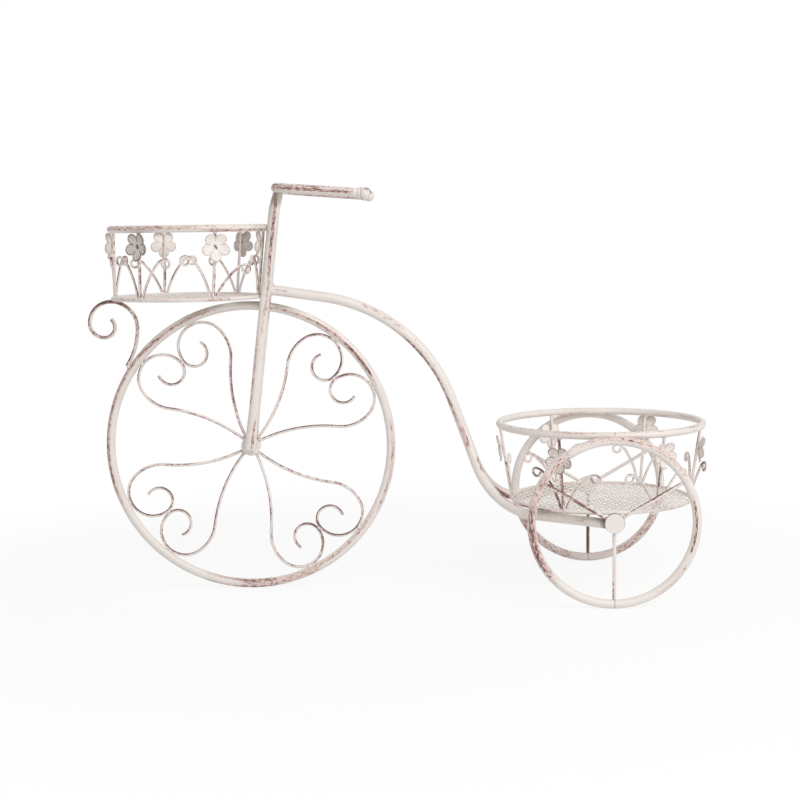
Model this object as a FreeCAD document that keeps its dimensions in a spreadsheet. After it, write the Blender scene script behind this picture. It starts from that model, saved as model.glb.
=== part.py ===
import FreeCAD, Part
import math
import os
import Sketcher

# A plant stand in the shape of an old tricycle, bent from steel tube and wire: one tall
# front wheel with a small basket over it, and a wide basket between two rear wheels.
# Millimetres, +X towards the rear, +Y towards the far side, +Z up, wheels on Z = 0.

Vector = FreeCAD.Vector
Placement = FreeCAD.Placement
Rotation = FreeCAD.Rotation

ACROSS = Vector(1, 0, 0)
FAR = Vector(0, 1, 0)
NEAR = Vector(0, -1, 0)
UP = Vector(0, 0, 1)
SIDES = (("near", -1), ("far", 1))

HEARTS = 4
PETALS = 5
QUARTER_TURN = 90
SPOKE_ANGLES = (-90, 30, 150)


class Stem:
    """A stem as it was welded and bent by hand, with left and right seen from outside.

    The angle is around the basket. A flower is set up its stem by its lift and turned on
    it, in degrees. A tendril leans down from its usual run and bends out of the wall, both
    in degrees.
    """

    def __init__(self, angle, flower_lift=0, flower_turn=0, left=(0, 0), right=(0, 0)):
        self.angle = angle
        self.flower_lift = flower_lift
        self.flower_turn = flower_turn
        self.tendrils = (("left", -1, *left), ("right", 1, *right))


FRONT_STEMS = (
    Stem(-4, flower_turn=180),
    Stem(52, right=(8, 0)),
    Stem(116, right=(10, 0)),
    Stem(176),
    Stem(240, flower_lift=-1, flower_turn=-6),
    Stem(298, flower_lift=-2, flower_turn=-8, right=(13, 0)),
)
REAR_STEMS = (
    Stem(-2, flower_lift=-3, left=(0, 20)),
    Stem(55, flower_lift=9),
    Stem(114, right=(12, 0)),
    Stem(178, right=(0, 10)),
    Stem(240, right=(8, 0)),
    Stem(300, flower_lift=4, left=(8, 0), right=(8, 0)),
)

SIZES = [
    ("front_wheel_x", -152.72, "front axle, from the middle of the stand"),
    ("front_wheel_diameter", 300.0, "outside of the front wheel"),
    ("front_rim_tube", 9.0, "tube of the front wheel"),
    ("front_hub_diameter", 20.0, "barrel that the wheel scrolls meet"),
    ("front_hub_round", 1.0, "rounding on the barrel's edges"),
    ("scroll_wire", 3.0, "wire of the wheel scrolls"),
    ("scroll_curl_radius", 25.0, "large curl, to the wire's centre"),
    ("scroll_curl_angle", 171.0, "turn of the large curl, degrees"),
    ("scroll_tip_radius", 13.5, "small inner curl"),
    ("scroll_tip_angle", 202.0, "turn of the small curl, degrees"),
    ("scroll_shoulder_radius", 38.0, "easy bend between leg and curl"),
    ("scroll_shoulder_angle", 53.0, "turn of that bend, degrees"),
    ("heart_angle", 38.2, "first pair of scrolls above the horizontal, degrees"),
    ("fork_tube", 10.0, "tube of the two fork legs"),
    ("fork_lean", 6.9, "lean of the fork towards the rear, degrees"),
    ("fork_foot_width", 12.4, "flattened foot over the hub"),
    ("fork_foot_length", 34.0, "length of the flattened foot"),
    ("fork_foot_overhang", 3.0, "foot below the axle"),
    ("fork_neck_width", 8.6, "drawn-in neck under the handlebar"),
    ("fork_neck_length", 16.0, "length of the drawn-in neck"),
    ("fork_neck_offset", 2.5, "neck bent towards the rear"),
    ("handlebar_height", 414.4, "centre of the cross bar"),
    ("handlebar_tube", 9.0, "tube of the handlebar"),
    ("handlebar_slope", 4.5, "arms fall towards the rear, degrees"),
    ("handlebar_reach", 84.0, "cross bar to the end of the arms"),
    ("handlebar_front_width", 126.0, "width at the corners"),
    ("handlebar_end_width", 160.0, "width at the ends"),
    ("handlebar_bend_radius", 26.0, "bend radius of the corners"),
    ("knob_diameter", 11.6, "ball at the end of each arm"),
    ("knob_collar_diameter", 10.4, "collar before the ball"),
    ("knob_collar_width", 2.6, "length of the collar"),
    ("backbone_tube", 10.0, "two tubes of the backbone"),
    ("backbone_height", 312.0, "backbone on the fork"),
    ("backbone_start_slope", 8.5, "fall behind the fork, degrees"),
    ("backbone_fall_slope", 70.0, "fall before the rear basket, degrees"),
    ("backbone_upper_bend_radius", 165.0, "bend radius between the two falls"),
    ("backbone_parting_height", 75.0, "tubes part this far above the tail"),
    ("backbone_parting_bend_radius", 100.0, "bend radius where they part"),
    ("backbone_spread", 30.0, "each tube from the middle at the lower bend"),
    ("backbone_lower_bend_radius", 80.0, "bend radius before the rear basket"),
    ("backbone_setback", 21.0, "lower bend ahead of the rear basket"),
    ("tail_drop", 1.0, "tail tubes below the rear axle"),
    ("tail_end_setback", 5.0, "end of the tail tubes ahead of the rear axle"),
    ("rear_wheel_x", 209.98, "rear axle and middle of the rear basket"),
    ("rear_wheel_diameter", 170.0, "outside of the rear wheels"),
    ("rear_rim_tube", 8.8, "tube of the rear wheels"),
    ("rear_spoke_wire", 3.6, "wire of the rear spokes"),
    ("rear_spoke_start", 3.4, "spokes begin this far from the axle"),
    ("rear_hub_diameter", 20.0, "flat disc over the spokes"),
    ("rear_hub_thickness", 2.4, "thickness of that disc"),
    ("rear_hub_round", 0.5, "rounding on its edges"),
    ("basket_rim_tube", 7.4, "tube of both basket rims"),
    ("basket_base_wire", 4.0, "wire of both base rings"),
    ("front_basket_lift", 3.0, "front base ring above the front wheel"),
    ("front_basket_height", 70.0, "front base ring to front rim"),
    ("front_basket_rim_radius", 78.0, "front rim, to the tube's centre"),
    ("front_basket_base_radius", 74.6, "front base ring, to the wire's centre"),
    ("rear_basket_rim_radius", 104.2, "rear rim, to the tube's centre"),
    ("rear_basket_base_radius", 92.0, "rear base ring, to the wire's centre"),
    ("rear_basket_rim_rise", 3.6, "rear rim above the top of the wheel tubes"),
    ("floor_thickness", 1.2, "expanded sheet of the basket floors"),
    ("floor_pitch_x", 11.0, "meshes of the floor, short way"),
    ("floor_pitch_y", 20.0, "meshes of the floor, long way"),
    ("floor_strand", 2.6, "strands between the meshes"),
    ("floor_edge", 3.0, "plain edge of the floor"),
    ("stem_wire", 3.0, "flower stems"),
    ("tendril_wire", 2.6, "tendrils beside the stems"),
    ("tendril_side_step", 0.4, "tendril foot clear of its stem"),
    ("tendril_start_angle", 76.0, "tendril at its foot, degrees"),
    ("tendril_leg_radius", 90.0, "long bow of a tendril"),
    ("tendril_leg_angle", 24.0, "turn of that bow, degrees"),
    ("tendril_neck_radius", 14.0, "bend below the loop"),
    ("tendril_neck_angle", 45.0, "turn of that bend, degrees"),
    ("tendril_loop_radius", 4.2, "loop at the tip"),
    ("tendril_loop_angle", 285.0, "turn of the loop, degrees"),
    ("tendril_inset_angle", 9.0, "tendrils turn in with the wall, degrees"),
    ("front_basket_flower_drop", 12.3, "flower's middle below the stem's end, front"),
    ("rear_basket_flower_drop", 21.0, "flower's middle below the stem's end, rear"),
    ("flower_petal_radius", 6.3, "round of one petal"),
    ("flower_petal_reach", 8.2, "petal's middle from the flower's middle"),
    ("flower_sheet", 1.0, "stamped sheet of the flowers"),
    ("flower_cup_radius", 34.0, "hollow of the stamped flower"),
    ("bracket_wire", 3.8, "scroll under the front basket"),
    ("bracket_top_inset", 4.0, "its top ahead of the front base ring"),
    ("bracket_side_radius", 27.0, "bend towards the wheel"),
    ("bracket_curl_radius", 22.0, "outer bend of the curl"),
    ("bracket_inner_radius", 15.0, "next bend of the curl"),
    ("bracket_tip_radius", 10.8, "last bend of the curl"),
    ("bracket_tip_angle", 140.0, "turn of the last bend, degrees"),
    ("seat_gap", 0.2, "clearance between pieces that are welded"),
]

doc = FreeCAD.newDocument("BicyclePlantStand")
sheet = doc.addObject("Spreadsheet::Sheet", "Sizes")
for row, (alias, number, note) in enumerate(SIZES, start=1):
    sheet.set("A%d" % row, alias)
    sheet.set("B%d" % row, str(number))
    sheet.set("C%d" % row, note)
    sheet.setAlias("B%d" % row, alias)
doc.recompute()

sub_parts = []


def size(alias):
    return float(sheet.get(alias))


def radians(alias):
    return math.radians(size(alias))


# Places worked out from the driving sizes

gap = size("seat_gap")
lean = radians("fork_lean")
fork_turn = Rotation(FAR, size("fork_lean"))
leg_direction = fork_turn.multVec(UP)
leg_offset = size("front_rim_tube") / 2 + gap + size("fork_tube") / 2
front_axle = Vector(size("front_wheel_x"), 0, size("front_wheel_diameter") / 2)
front_rim_inside = size("front_wheel_diameter") / 2 - size("front_rim_tube")

rear_axle_z = size("rear_wheel_diameter") / 2
tail_z = rear_axle_z - size("tail_drop")
rear_base_z = tail_z + size("backbone_tube") / 2 + gap + size("basket_base_wire") / 2
rear_rim_top_z = size("rear_wheel_diameter") - size("rear_rim_tube") / 2
rear_rim_z = rear_rim_top_z + size("rear_basket_rim_rise")
rim_to_wheel = size("basket_rim_tube") / 2 + size("rear_rim_tube") / 2 + gap
track_reach = math.sqrt(rim_to_wheel**2 - size("rear_basket_rim_rise") ** 2)
half_track = size("rear_basket_rim_radius") + track_reach

front_base_z = size("front_wheel_diameter") + size("front_basket_lift") + size("basket_base_wire") / 2
front_rim_z = front_base_z + size("front_basket_height")


def leg_x(height):
    """Middle of the fork legs at a height."""
    return front_axle.x + (height - front_axle.z) * math.tan(lean)


def leg_front(height):
    """Front face of the fork legs at a height."""
    return leg_x(height) - size("fork_tube") / 2 / math.cos(lean)


def ahead_of_legs(height, radius, wire):
    """Middle of a ring that rests against the front of both fork legs."""
    outside = size(radius) + size(wire) / 2
    reach = math.sqrt(outside**2 - leg_offset**2)
    return Vector(leg_front(height) - 2 * gap - reach, 0, height)


front_base_middle = ahead_of_legs(front_base_z, "front_basket_base_radius", "basket_base_wire")
front_rim_middle = ahead_of_legs(front_rim_z, "front_basket_rim_radius", "basket_rim_tube")
rear_base_middle = Vector(size("rear_wheel_x"), 0, rear_base_z)
rear_rim_middle = Vector(size("rear_wheel_x"), 0, rear_rim_z)


class Trail:
    """Tangent bends one after another, in a plane with X to the right and Z up."""

    def __init__(self, x, z, heading):
        self.x = x
        self.z = z
        self.heading = heading
        self.bends = []

    def ahead(self, radius, turn):
        """Point reached by a bend; a positive turn goes to the left."""
        hand = math.copysign(radius, turn)
        start = math.radians(self.heading - 90)
        end = start + math.radians(turn)
        x = self.x + hand * (math.cos(end) - math.cos(start))
        z = self.z + hand * (math.sin(end) - math.sin(start))
        return x, z

    def bend(self, radius, turn):
        middle = self.ahead(radius, turn / 2)
        end = self.ahead(radius, turn)
        self.bends.append(((self.x, self.z), middle, end))
        self.x, self.z = end
        self.heading += turn
        return self

    def bend_to(self, x, z):
        """The one bend that leaves along the heading and ends in a point."""
        chord = math.hypot(x - self.x, z - self.z)
        aim = math.degrees(math.atan2(z - self.z, x - self.x))
        half_turn = (aim - self.heading + 180) % 360 - 180
        radius = chord / (2 * abs(math.sin(math.radians(half_turn))))
        return self.bend(radius, 2 * half_turn)

    def edges(self):
        return [Part.Arc(*[Vector(x, 0, z) for x, z in bend]).toShape() for bend in self.bends]


def rounded_run(points, radii):
    """Straight runs through points, with a bend at each point between."""
    edges = []
    last = points[0]
    for before, corner, after, radius in zip(points, points[1:], points[2:], radii):
        backward = (before - corner).normalize()
        forward = (after - corner).normalize()
        half_turn = (math.pi - backward.getAngle(forward)) / 2
        reach = radius * math.tan(half_turn)
        bisector = (backward + forward).normalize()
        start = corner + backward * reach
        end = corner + forward * reach
        middle = corner + bisector * (radius / math.cos(half_turn) - radius)
        edges.append(Part.LineSegment(last, start).toShape())
        edges.append(Part.Arc(start, middle, end).toShape())
        last = end
    edges.append(Part.LineSegment(last, points[-1]).toShape())
    return edges


def bend_reach(before, corner, after, radius):
    """How far a bend takes up the straight runs beside its corner."""
    return radius * math.tan((math.pi - (before - corner).getAngle(after - corner)) / 2)


def keep(obj, label):
    """Take an object as a sub-part; its label names its file."""
    obj.Label = label
    sub_parts.append(obj)
    return obj


def bound(kind, name, placement, **expressions):
    """A primitive at a place, with its sizes bound to the sheet."""
    obj = doc.addObject(kind, name)
    for prop, expression in expressions.items():
        obj.setExpression(prop, expression)
    obj.Placement = placement
    return obj


def group(label, members):
    """Separate solids that make one sub-part."""
    compound = doc.addObject("Part::Compound", label)
    compound.Links = members
    return keep(compound, label)


def boolean(kind, name, base, tool):
    result = doc.addObject(kind, name)
    result.Base = base
    result.Tool = tool
    return result


def swept(name, edges, wire, placement=Placement()):
    """Round wire or tube along a path; wire is the alias of its diameter."""
    path = doc.addObject("Part::Feature", name + "_path")
    path.Shape = Part.Wire(edges)
    start = edges[0].valueAt(edges[0].FirstParameter)
    tangent = edges[0].tangentAt(edges[0].FirstParameter)
    facing = Placement(start, Rotation(UP, tangent))
    section = bound("Part::Circle", name + "_section", facing, Radius="Sizes.%s / 2" % wire)
    sweep = doc.addObject("Part::Sweep", name)
    sweep.Sections = [section]
    sweep.Spine = (path, ["Edge%d" % (index + 1) for index in range(len(edges))])
    sweep.Solid = True
    sweep.Placement = placement
    return sweep


def ring(label, radius, wire, centre, axis):
    """A closed ring of tube; radius is an expression, to the tube's centre."""
    spot = Placement(centre, Rotation(UP, axis))
    keep(bound("Part::Torus", label, spot, Radius1=radius, Radius2="Sizes.%s / 2" % wire), label)


def sketch_on(body, role, name):
    """A sketch on one of the body's own origin planes."""
    plane = [feature for feature in body.Origin.OriginFeatures if feature.Role == role][0]
    sketch = body.newObject("Sketcher::SketchObject", name)
    sketch.AttachmentSupport = [(plane, "")]
    sketch.MapMode = "FlatFace"
    return sketch


def end_at(sketch, index, point):
    """Number of the line or arc end that lies on a point."""
    return min((1, 2), key=lambda end: sketch.getPoint(index, end).distanceToPoint(point))


def turned_body(label, corners, crowns, placement):
    """A turned piece: half its outline in the XY plane, turned about the X axis.

    crowns gives the middle point of each side that is an arc, by its first corner.
    """
    body = doc.addObject("PartDesign::Body", label)
    sketch = sketch_on(body, "XY_Plane", label + "_outline")
    points = [Vector(x, y, 0) for x, y in corners]
    for index, start in enumerate(points):
        end = points[(index + 1) % len(points)]
        if index in crowns:
            sketch.addGeometry(Part.Arc(start, Vector(*crowns[index], 0), end), False)
        else:
            sketch.addGeometry(Part.LineSegment(start, end), False)
    for index in range(len(points)):
        following = (index + 1) % len(points)
        ends = [end_at(sketch, side, points[following]) for side in (index, following)]
        sketch.addConstraint(Sketcher.Constraint("Coincident", index, ends[0], following, ends[1]))
    turned = body.newObject("PartDesign::Revolution", label + "_turned")
    turned.Profile = sketch
    turned.ReferenceAxis = (sketch, ["H_Axis"])
    turned.Angle = 360
    body.Placement = placement
    return keep(body, label)


def disc_body(label, diameter, width, rounding, placement):
    """A round disc with rounded edges; its sizes are expressions."""
    body = doc.addObject("PartDesign::Body", label)
    sketch = sketch_on(body, "XY_Plane", label + "_round")
    sketch.addGeometry(Part.Circle(Vector(), UP, 1), False)
    sketch.addConstraint(Sketcher.Constraint("Coincident", 0, 3, -1, 1))
    sketch.addConstraint(Sketcher.Constraint("Diameter", 0, 2))
    sketch.setExpression("Constraints[1]", diameter)
    pad = body.newObject("PartDesign::Pad", label + "_pad")
    pad.Profile = sketch
    pad.setExpression("Length", width)
    doc.recompute()
    rims = ["Edge%d" % number for number, edge in enumerate(pad.Shape.Edges, 1) if edge.isClosed()]
    fillet = body.newObject("PartDesign::Fillet", label + "_edges")
    fillet.Base = (pad, rims)
    fillet.setExpression("Radius", rounding)
    body.Placement = placement
    return keep(body, label)


# Front wheel: rim, hub barrel and four hearts of two scrolls each


def scroll_edges():
    """Half a heart with its axis along X, from the tip of its curl to the hub."""
    wire = size("scroll_wire") / 2
    curl = size("scroll_curl_radius")
    tip = size("scroll_tip_radius")
    beside_axis = wire + gap / 2
    curl_reach = front_rim_inside - gap - wire - curl
    curl_x = math.sqrt(curl_reach**2 - (curl + beside_axis) ** 2)
    tip_angle = math.radians(-90 - size("scroll_tip_angle"))
    tip_x = curl_x + tip * math.cos(tip_angle)
    tip_z = beside_axis + tip + tip * math.sin(tip_angle)
    trail = Trail(tip_x, tip_z, -size("scroll_tip_angle"))
    trail.bend(tip, size("scroll_tip_angle"))
    trail.bend(curl, size("scroll_curl_angle"))
    trail.bend(size("scroll_shoulder_radius"), size("scroll_shoulder_angle"))
    trail.bend_to(size("front_hub_diameter") / 2 + 2 * gap, beside_axis)
    return trail.edges()


def front_wheel():
    rim_radius = "Sizes.front_wheel_diameter / 2 - Sizes.front_rim_tube / 2"
    ring("front_wheel_rim", rim_radius, "front_rim_tube", front_axle, FAR)
    far_face = front_axle + FAR * (size("front_rim_tube") / 2)
    disc_body(
        "front_hub",
        "Sizes.front_hub_diameter",
        "Sizes.front_rim_tube",
        "Sizes.front_hub_round",
        Placement(far_face, Rotation(UP, NEAR)),
    )
    for heart in range(HEARTS):
        heart_turn = Rotation(NEAR, size("heart_angle") + heart * 360 / HEARTS)
        for half, flip in enumerate((0, 180), start=1):
            label = "front_wheel_scroll_%d" % (2 * heart + half)
            spot = Placement(front_axle, heart_turn * Rotation(ACROSS, flip))
            keep(swept(label, scroll_edges(), "scroll_wire", spot), label)


# Fork: two legs that straddle the wheel, with a flattened foot and a drawn-in neck

neck_shift = fork_turn.multVec(ACROSS) * size("fork_neck_offset")
leg_length = (size("handlebar_height") - front_axle.z) / math.cos(lean)
bar_centre = front_axle + leg_direction * leg_length + neck_shift


def leg_section(name, centre, width):
    return bound(
        "Part::Ellipse",
        name,
        Placement(centre, fork_turn),
        MajorRadius="Sizes.%s / 2" % width,
        MinorRadius="Sizes.fork_tube / 2",
    )


def fork_leg(label, hand, saddle):
    hub_side = front_axle + FAR * (hand * leg_offset)
    neck_top = leg_length - size("handlebar_tube") / 4
    neck_start = leg_length - size("handlebar_tube") / 2 - size("fork_neck_length")
    foot_end = hub_side - leg_direction * size("fork_foot_overhang")
    ankle = hub_side + leg_direction * size("fork_foot_length")
    shoulder = hub_side + leg_direction * neck_start
    shaft = doc.addObject("Part::Loft", label + "_shaft")
    shaft.Sections = [
        leg_section(label + "_foot", foot_end, "fork_foot_width"),
        leg_section(label + "_ankle", ankle, "fork_tube"),
        leg_section(label + "_shoulder", shoulder, "fork_tube"),
        bound(
            "Part::Circle",
            label + "_neck",
            Placement(hub_side + leg_direction * neck_top + neck_shift, fork_turn),
            Radius="Sizes.fork_neck_width / 2",
        ),
    ]
    shaft.Solid = True
    shaft.Ruled = True
    keep(boolean("Part::Cut", label, shaft, saddle), label)


def fork():
    saddle = bound(
        "Part::Cylinder",
        "handlebar_saddle",
        Placement(bar_centre + NEAR * (size("handlebar_front_width") / 2), Rotation(UP, FAR)),
        Radius="Sizes.handlebar_tube / 2 + Sizes.seat_gap",
        Height="Sizes.handlebar_front_width",
    )
    for side, hand in SIDES:
        fork_leg("fork_leg_" + side, hand, saddle)


# Handlebar: one swept-back tube over the fork, with a knob on each end


def knob(label, placement):
    collar = size("knob_collar_diameter") / 2
    collar_end = size("knob_collar_width")
    ball = size("knob_diameter") / 2
    throat = size("handlebar_tube") / 2
    ball_middle = collar_end + math.sqrt(ball**2 - throat**2)
    corners = [
        (0, 0),
        (0, collar),
        (collar_end, collar),
        (collar_end, throat),
        (ball_middle + ball, 0),
    ]
    ball_side = 3
    turned_body(label, corners, {ball_side: (ball_middle, ball)}, placement)


def handlebar():
    place = Placement(bar_centre, Rotation(FAR, size("handlebar_slope")))
    reach = size("handlebar_reach")
    corners = [Vector(0, hand * size("handlebar_front_width") / 2, 0) for _, hand in SIDES]
    ends = [Vector(reach, hand * size("handlebar_end_width") / 2, 0) for _, hand in SIDES]
    points = [ends[0], corners[0], corners[1], ends[1]]
    bends = [size("handlebar_bend_radius")] * len(corners)
    keep(swept("handlebar", rounded_run(points, bends), "handlebar_tube", place), "handlebar")
    for (side, _), corner, end in zip(SIDES, corners, ends):
        knob("handlebar_knob_" + side, place * Placement(end, Rotation(ACROSS, end - corner)))


# Backbone: two tubes that leave the fork together and part towards the rear wheels


def backbone_points(hand):
    start_slope = math.tan(radians("backbone_start_slope"))
    fall_slope = math.tan(radians("backbone_fall_slope"))
    start_x = leg_x(size("backbone_height"))
    start_z = size("backbone_height")
    lower_x = size("rear_wheel_x") - size("rear_basket_base_radius") - size("backbone_setback")
    upper_x = (tail_z + fall_slope * lower_x - start_z - start_slope * start_x) / (fall_slope - start_slope)
    upper_z = start_z - start_slope * (upper_x - start_x)
    beside = hand * (size("backbone_tube") / 2 + gap / 2)
    parting_x = lower_x - size("backbone_parting_height") / fall_slope
    lower = Vector(lower_x, hand * size("backbone_spread"), tail_z)
    tail_end = Vector(size("rear_wheel_x") - size("tail_end_setback"), hand * half_track, tail_z)
    overrun = (tail_end - lower).normalize() * size("backbone_tube")
    return [
        Vector(start_x, beside, start_z),
        Vector(upper_x, beside, upper_z),
        Vector(parting_x, beside, tail_z + size("backbone_parting_height")),
        lower,
        tail_end + overrun,
    ]


def backbone_bends(points):
    """Bend radii; a straight as long as the tube is wide stays between the upper bend and the next."""
    upper, parting, lower = [size("backbone_%s_bend_radius" % place) for place in ("upper", "parting", "lower")]
    fall = (points[2] - points[1]).Length
    room = fall - size("backbone_tube") - bend_reach(*points[1:4], parting)
    return [min(upper, room / bend_reach(*points[:3], 1)), parting, lower]


def backbone():
    wheel_face = half_track - size("rear_spoke_wire") / 2 - gap
    between_wheels = bound(
        "Part::Box",
        "between_wheels",
        Placement(Vector(front_axle.x, -wheel_face, 0), Rotation()),
        Length="Sizes.rear_wheel_x - Sizes.front_wheel_x + Sizes.rear_wheel_diameter",
        Height="Sizes.handlebar_height",
    )
    between_wheels.Width = 2 * wheel_face
    for side, hand in SIDES:
        label = "backbone_tube_" + side
        points = backbone_points(hand)
        tube = swept(label + "_bent", rounded_run(points, backbone_bends(points)), "backbone_tube")
        mitred = boolean("Part::Common", label + "_mitred", tube, between_wheels)
        leg_room = bound(
            "Part::Cylinder",
            label + "_leg_room",
            Placement(front_axle + FAR * (hand * leg_offset), fork_turn),
            Radius="Sizes.fork_tube / 2 + Sizes.seat_gap",
            Height="Sizes.handlebar_height",
        )
        keep(boolean("Part::Cut", label, mitred, leg_room), label)


# Rear wheels: rim, three spokes and a flat hub disc on the outside


def rear_wheel(side, hand):
    axle = Vector(size("rear_wheel_x"), hand * half_track, rear_axle_z)
    outward = FAR * hand
    rim_radius = "Sizes.rear_wheel_diameter / 2 - Sizes.rear_rim_tube / 2"
    ring("rear_wheel_rim_" + side, rim_radius, "rear_rim_tube", axle, FAR)
    spokes = []
    for number, angle in enumerate(SPOKE_ANGLES, start=1):
        along = Rotation(NEAR, angle).multVec(ACROSS)
        spoke = bound(
            "Part::Cylinder",
            "rear_spoke_%s_%d" % (side, number),
            Placement(axle + along * size("rear_spoke_start"), Rotation(UP, along)),
            Radius="Sizes.rear_spoke_wire / 2",
            Height="Sizes.rear_wheel_diameter / 2 - Sizes.rear_rim_tube"
            " - Sizes.rear_spoke_start - 2 * Sizes.seat_gap",
        )
        spokes.append(spoke)
    group("rear_wheel_spokes_" + side, spokes)
    disc_face = axle + outward * (size("rear_spoke_wire") / 2 + gap)
    disc_body(
        "rear_hub_disc_" + side,
        "Sizes.rear_hub_diameter",
        "Sizes.rear_hub_thickness",
        "Sizes.rear_hub_round",
        Placement(disc_face, Rotation(UP, outward)),
    )


# Baskets: rim, base ring, expanded floor and six flowers with a pair of tendrils each


def floor_face(radius):
    """Round sheet with staggered diamond meshes and a crossing of strands in its middle."""
    half_x = size("floor_pitch_x") / 2
    half_y = size("floor_pitch_y") / 2
    inset = half_x * half_y / math.hypot(half_x, half_y)
    share = 1 - size("floor_strand") / 2 / inset
    mesh_x = half_x * share
    mesh_y = half_y * share
    clear = radius - size("floor_edge")
    columns = int(clear / half_x)
    rows = int(clear / half_y)
    wires = [Part.Wire(Part.makeCircle(radius))]
    for column in range(-columns, columns + 1):
        for line in range(-rows, rows + 1):
            x = column * half_x
            y = line * half_y
            farthest = max(math.hypot(abs(x) + mesh_x, y), math.hypot(x, abs(y) + mesh_y))
            if (column + line) % 2 == 0 or farthest > clear:
                continue
            diamond = [(x + mesh_x, y), (x, y + mesh_y), (x - mesh_x, y), (x, y - mesh_y)]
            wires.append(Part.makePolygon([Vector(a, b, 0) for a, b in diamond + diamond[:1]]))
    return Part.makeFace(wires, "Part::FaceMakerBullseye")


def basket_floor(label, radius, middle):
    face = doc.addObject("Part::Feature", label + "_face")
    face.Shape = floor_face(radius)
    face.Placement = Placement(middle - UP * (size("floor_thickness") / 2), Rotation())
    floor = doc.addObject("Part::Extrusion", label)
    floor.Base = face
    floor.DirMode = "Custom"
    floor.Dir = UP
    floor.Solid = True
    floor.setExpression("LengthFwd", "Sizes.floor_thickness")
    keep(floor, label)


def tendril_edges(foot, lean):
    side_step = size("stem_wire") / 2 + size("tendril_side_step") + size("tendril_wire") / 2
    start_angle = size("tendril_start_angle") - lean
    low_corner = size("tendril_wire") / 2 * math.cos(math.radians(start_angle))
    trail = Trail(side_step, foot + low_corner, start_angle)
    trail.bend(size("tendril_leg_radius"), -size("tendril_leg_angle"))
    trail.bend(size("tendril_neck_radius"), -size("tendril_neck_angle"))
    trail.bend(size("tendril_loop_radius"), -size("tendril_loop_angle"))
    return trail.edges()


def tendril_pair(label, wall, foot, tendrils):
    pair = []
    for side, hand, lean, bent_out in tendrils:
        turn = hand * (QUARTER_TURN + size("tendril_inset_angle") - bent_out)
        spot = wall * Placement(Vector(), Rotation(UP, turn))
        edges = tendril_edges(foot, lean)
        pair.append(swept("%s_%s" % (label, side), edges, "tendril_wire", spot))
    group(label, pair)


def flower(label, placement):
    """Five cupped petals in one stamping, facing +X from the back of its middle."""
    cup = size("flower_cup_radius")
    back = cup + size("flower_sheet")
    reach = size("flower_petal_reach")
    petal_round = size("flower_petal_radius")
    blank = reach + petal_round + size("flower_sheet")
    edge_angle = math.asin(blank / cup)

    def on_cup(radius, angle):
        return (back - radius * math.cos(angle), radius * math.sin(angle))

    def on_petals(radius, angle):
        return Vector(radius * math.cos(angle), radius * math.sin(angle), 0)

    corners = [on_cup(back, 0), on_cup(back, edge_angle), on_cup(cup, edge_angle), on_cup(cup, 0)]
    crowns = {0: on_cup(back, edge_angle / 2), 2: on_cup(cup, edge_angle / 2)}
    body = turned_body(label, corners, crowns, placement)

    outline = sketch_on(body, "YZ_Plane", label + "_petals")
    outline.addGeometry(Part.Circle(Vector(), UP, 2 * blank), False)
    half_step = math.pi / PETALS
    notch_depth = math.sqrt(petal_round**2 - (reach * math.sin(half_step)) ** 2)
    notch = reach * math.cos(half_step) + notch_depth
    for petal in range(PETALS):
        middle = 2 * petal * half_step - math.pi / 2
        start = on_petals(notch, middle - half_step)
        crown = on_petals(reach + petal_round, middle)
        end = on_petals(notch, middle + half_step)
        outline.addGeometry(Part.Arc(start, crown, end), False)
    for petal in range(PETALS):
        following = (petal + 1) % PETALS
        outline.addConstraint(Sketcher.Constraint("Coincident", petal + 1, 2, following + 1, 1))
    doc.recompute()
    trim = body.newObject("PartDesign::Pocket", label + "_trim")
    trim.Profile = outline
    trim.Type = "ThroughAll"
    trim.Midplane = True


def basket(name, base_middle, rim_middle, stems):
    base_radius = size(name + "_base_radius")
    rim_radius = size(name + "_rim_radius")
    ring(name + "_rim", "Sizes.%s_rim_radius" % name, "basket_rim_tube", rim_middle, UP)
    ring(name + "_base_ring", "Sizes.%s_base_radius" % name, "basket_base_wire", base_middle, UP)
    basket_floor(name + "_floor", base_radius - size("basket_base_wire") / 2 - gap, base_middle)

    foot = size("basket_base_wire") / 2 + gap
    behind_flower = size("stem_wire") / 2 + gap
    wires = []
    for number, stem in enumerate(stems, start=1):
        outward = Rotation(UP, stem.angle).multVec(ACROSS)
        on_base = base_middle + outward * base_radius
        rise = rim_middle + outward * rim_radius - on_base
        head = rise.Length - size("basket_rim_tube") / 2 - gap
        wall = Placement(on_base, Rotation(outward, Vector(), rise, "ZXY"))
        wire = bound(
            "Part::Cylinder",
            "%s_stem_%d" % (name, number),
            wall * Placement(UP * foot, Rotation()),
            Radius="Sizes.stem_wire / 2",
        )
        wire.Height = head - foot
        wires.append(wire)
        tendril_pair("%s_tendrils_%d" % (name, number), wall, foot, stem.tendrils)
        flower_height = head - size(name + "_flower_drop") + stem.flower_lift
        on_stem = Placement(UP * flower_height, Rotation(UP, stem.flower_turn))
        spot = wall * on_stem * Placement(ACROSS * behind_flower, Rotation())
        flower("%s_flower_%d" % (name, number), spot)
    group(name + "_stems", wires)


# Scroll bracket that props the front basket on the front wheel


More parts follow.
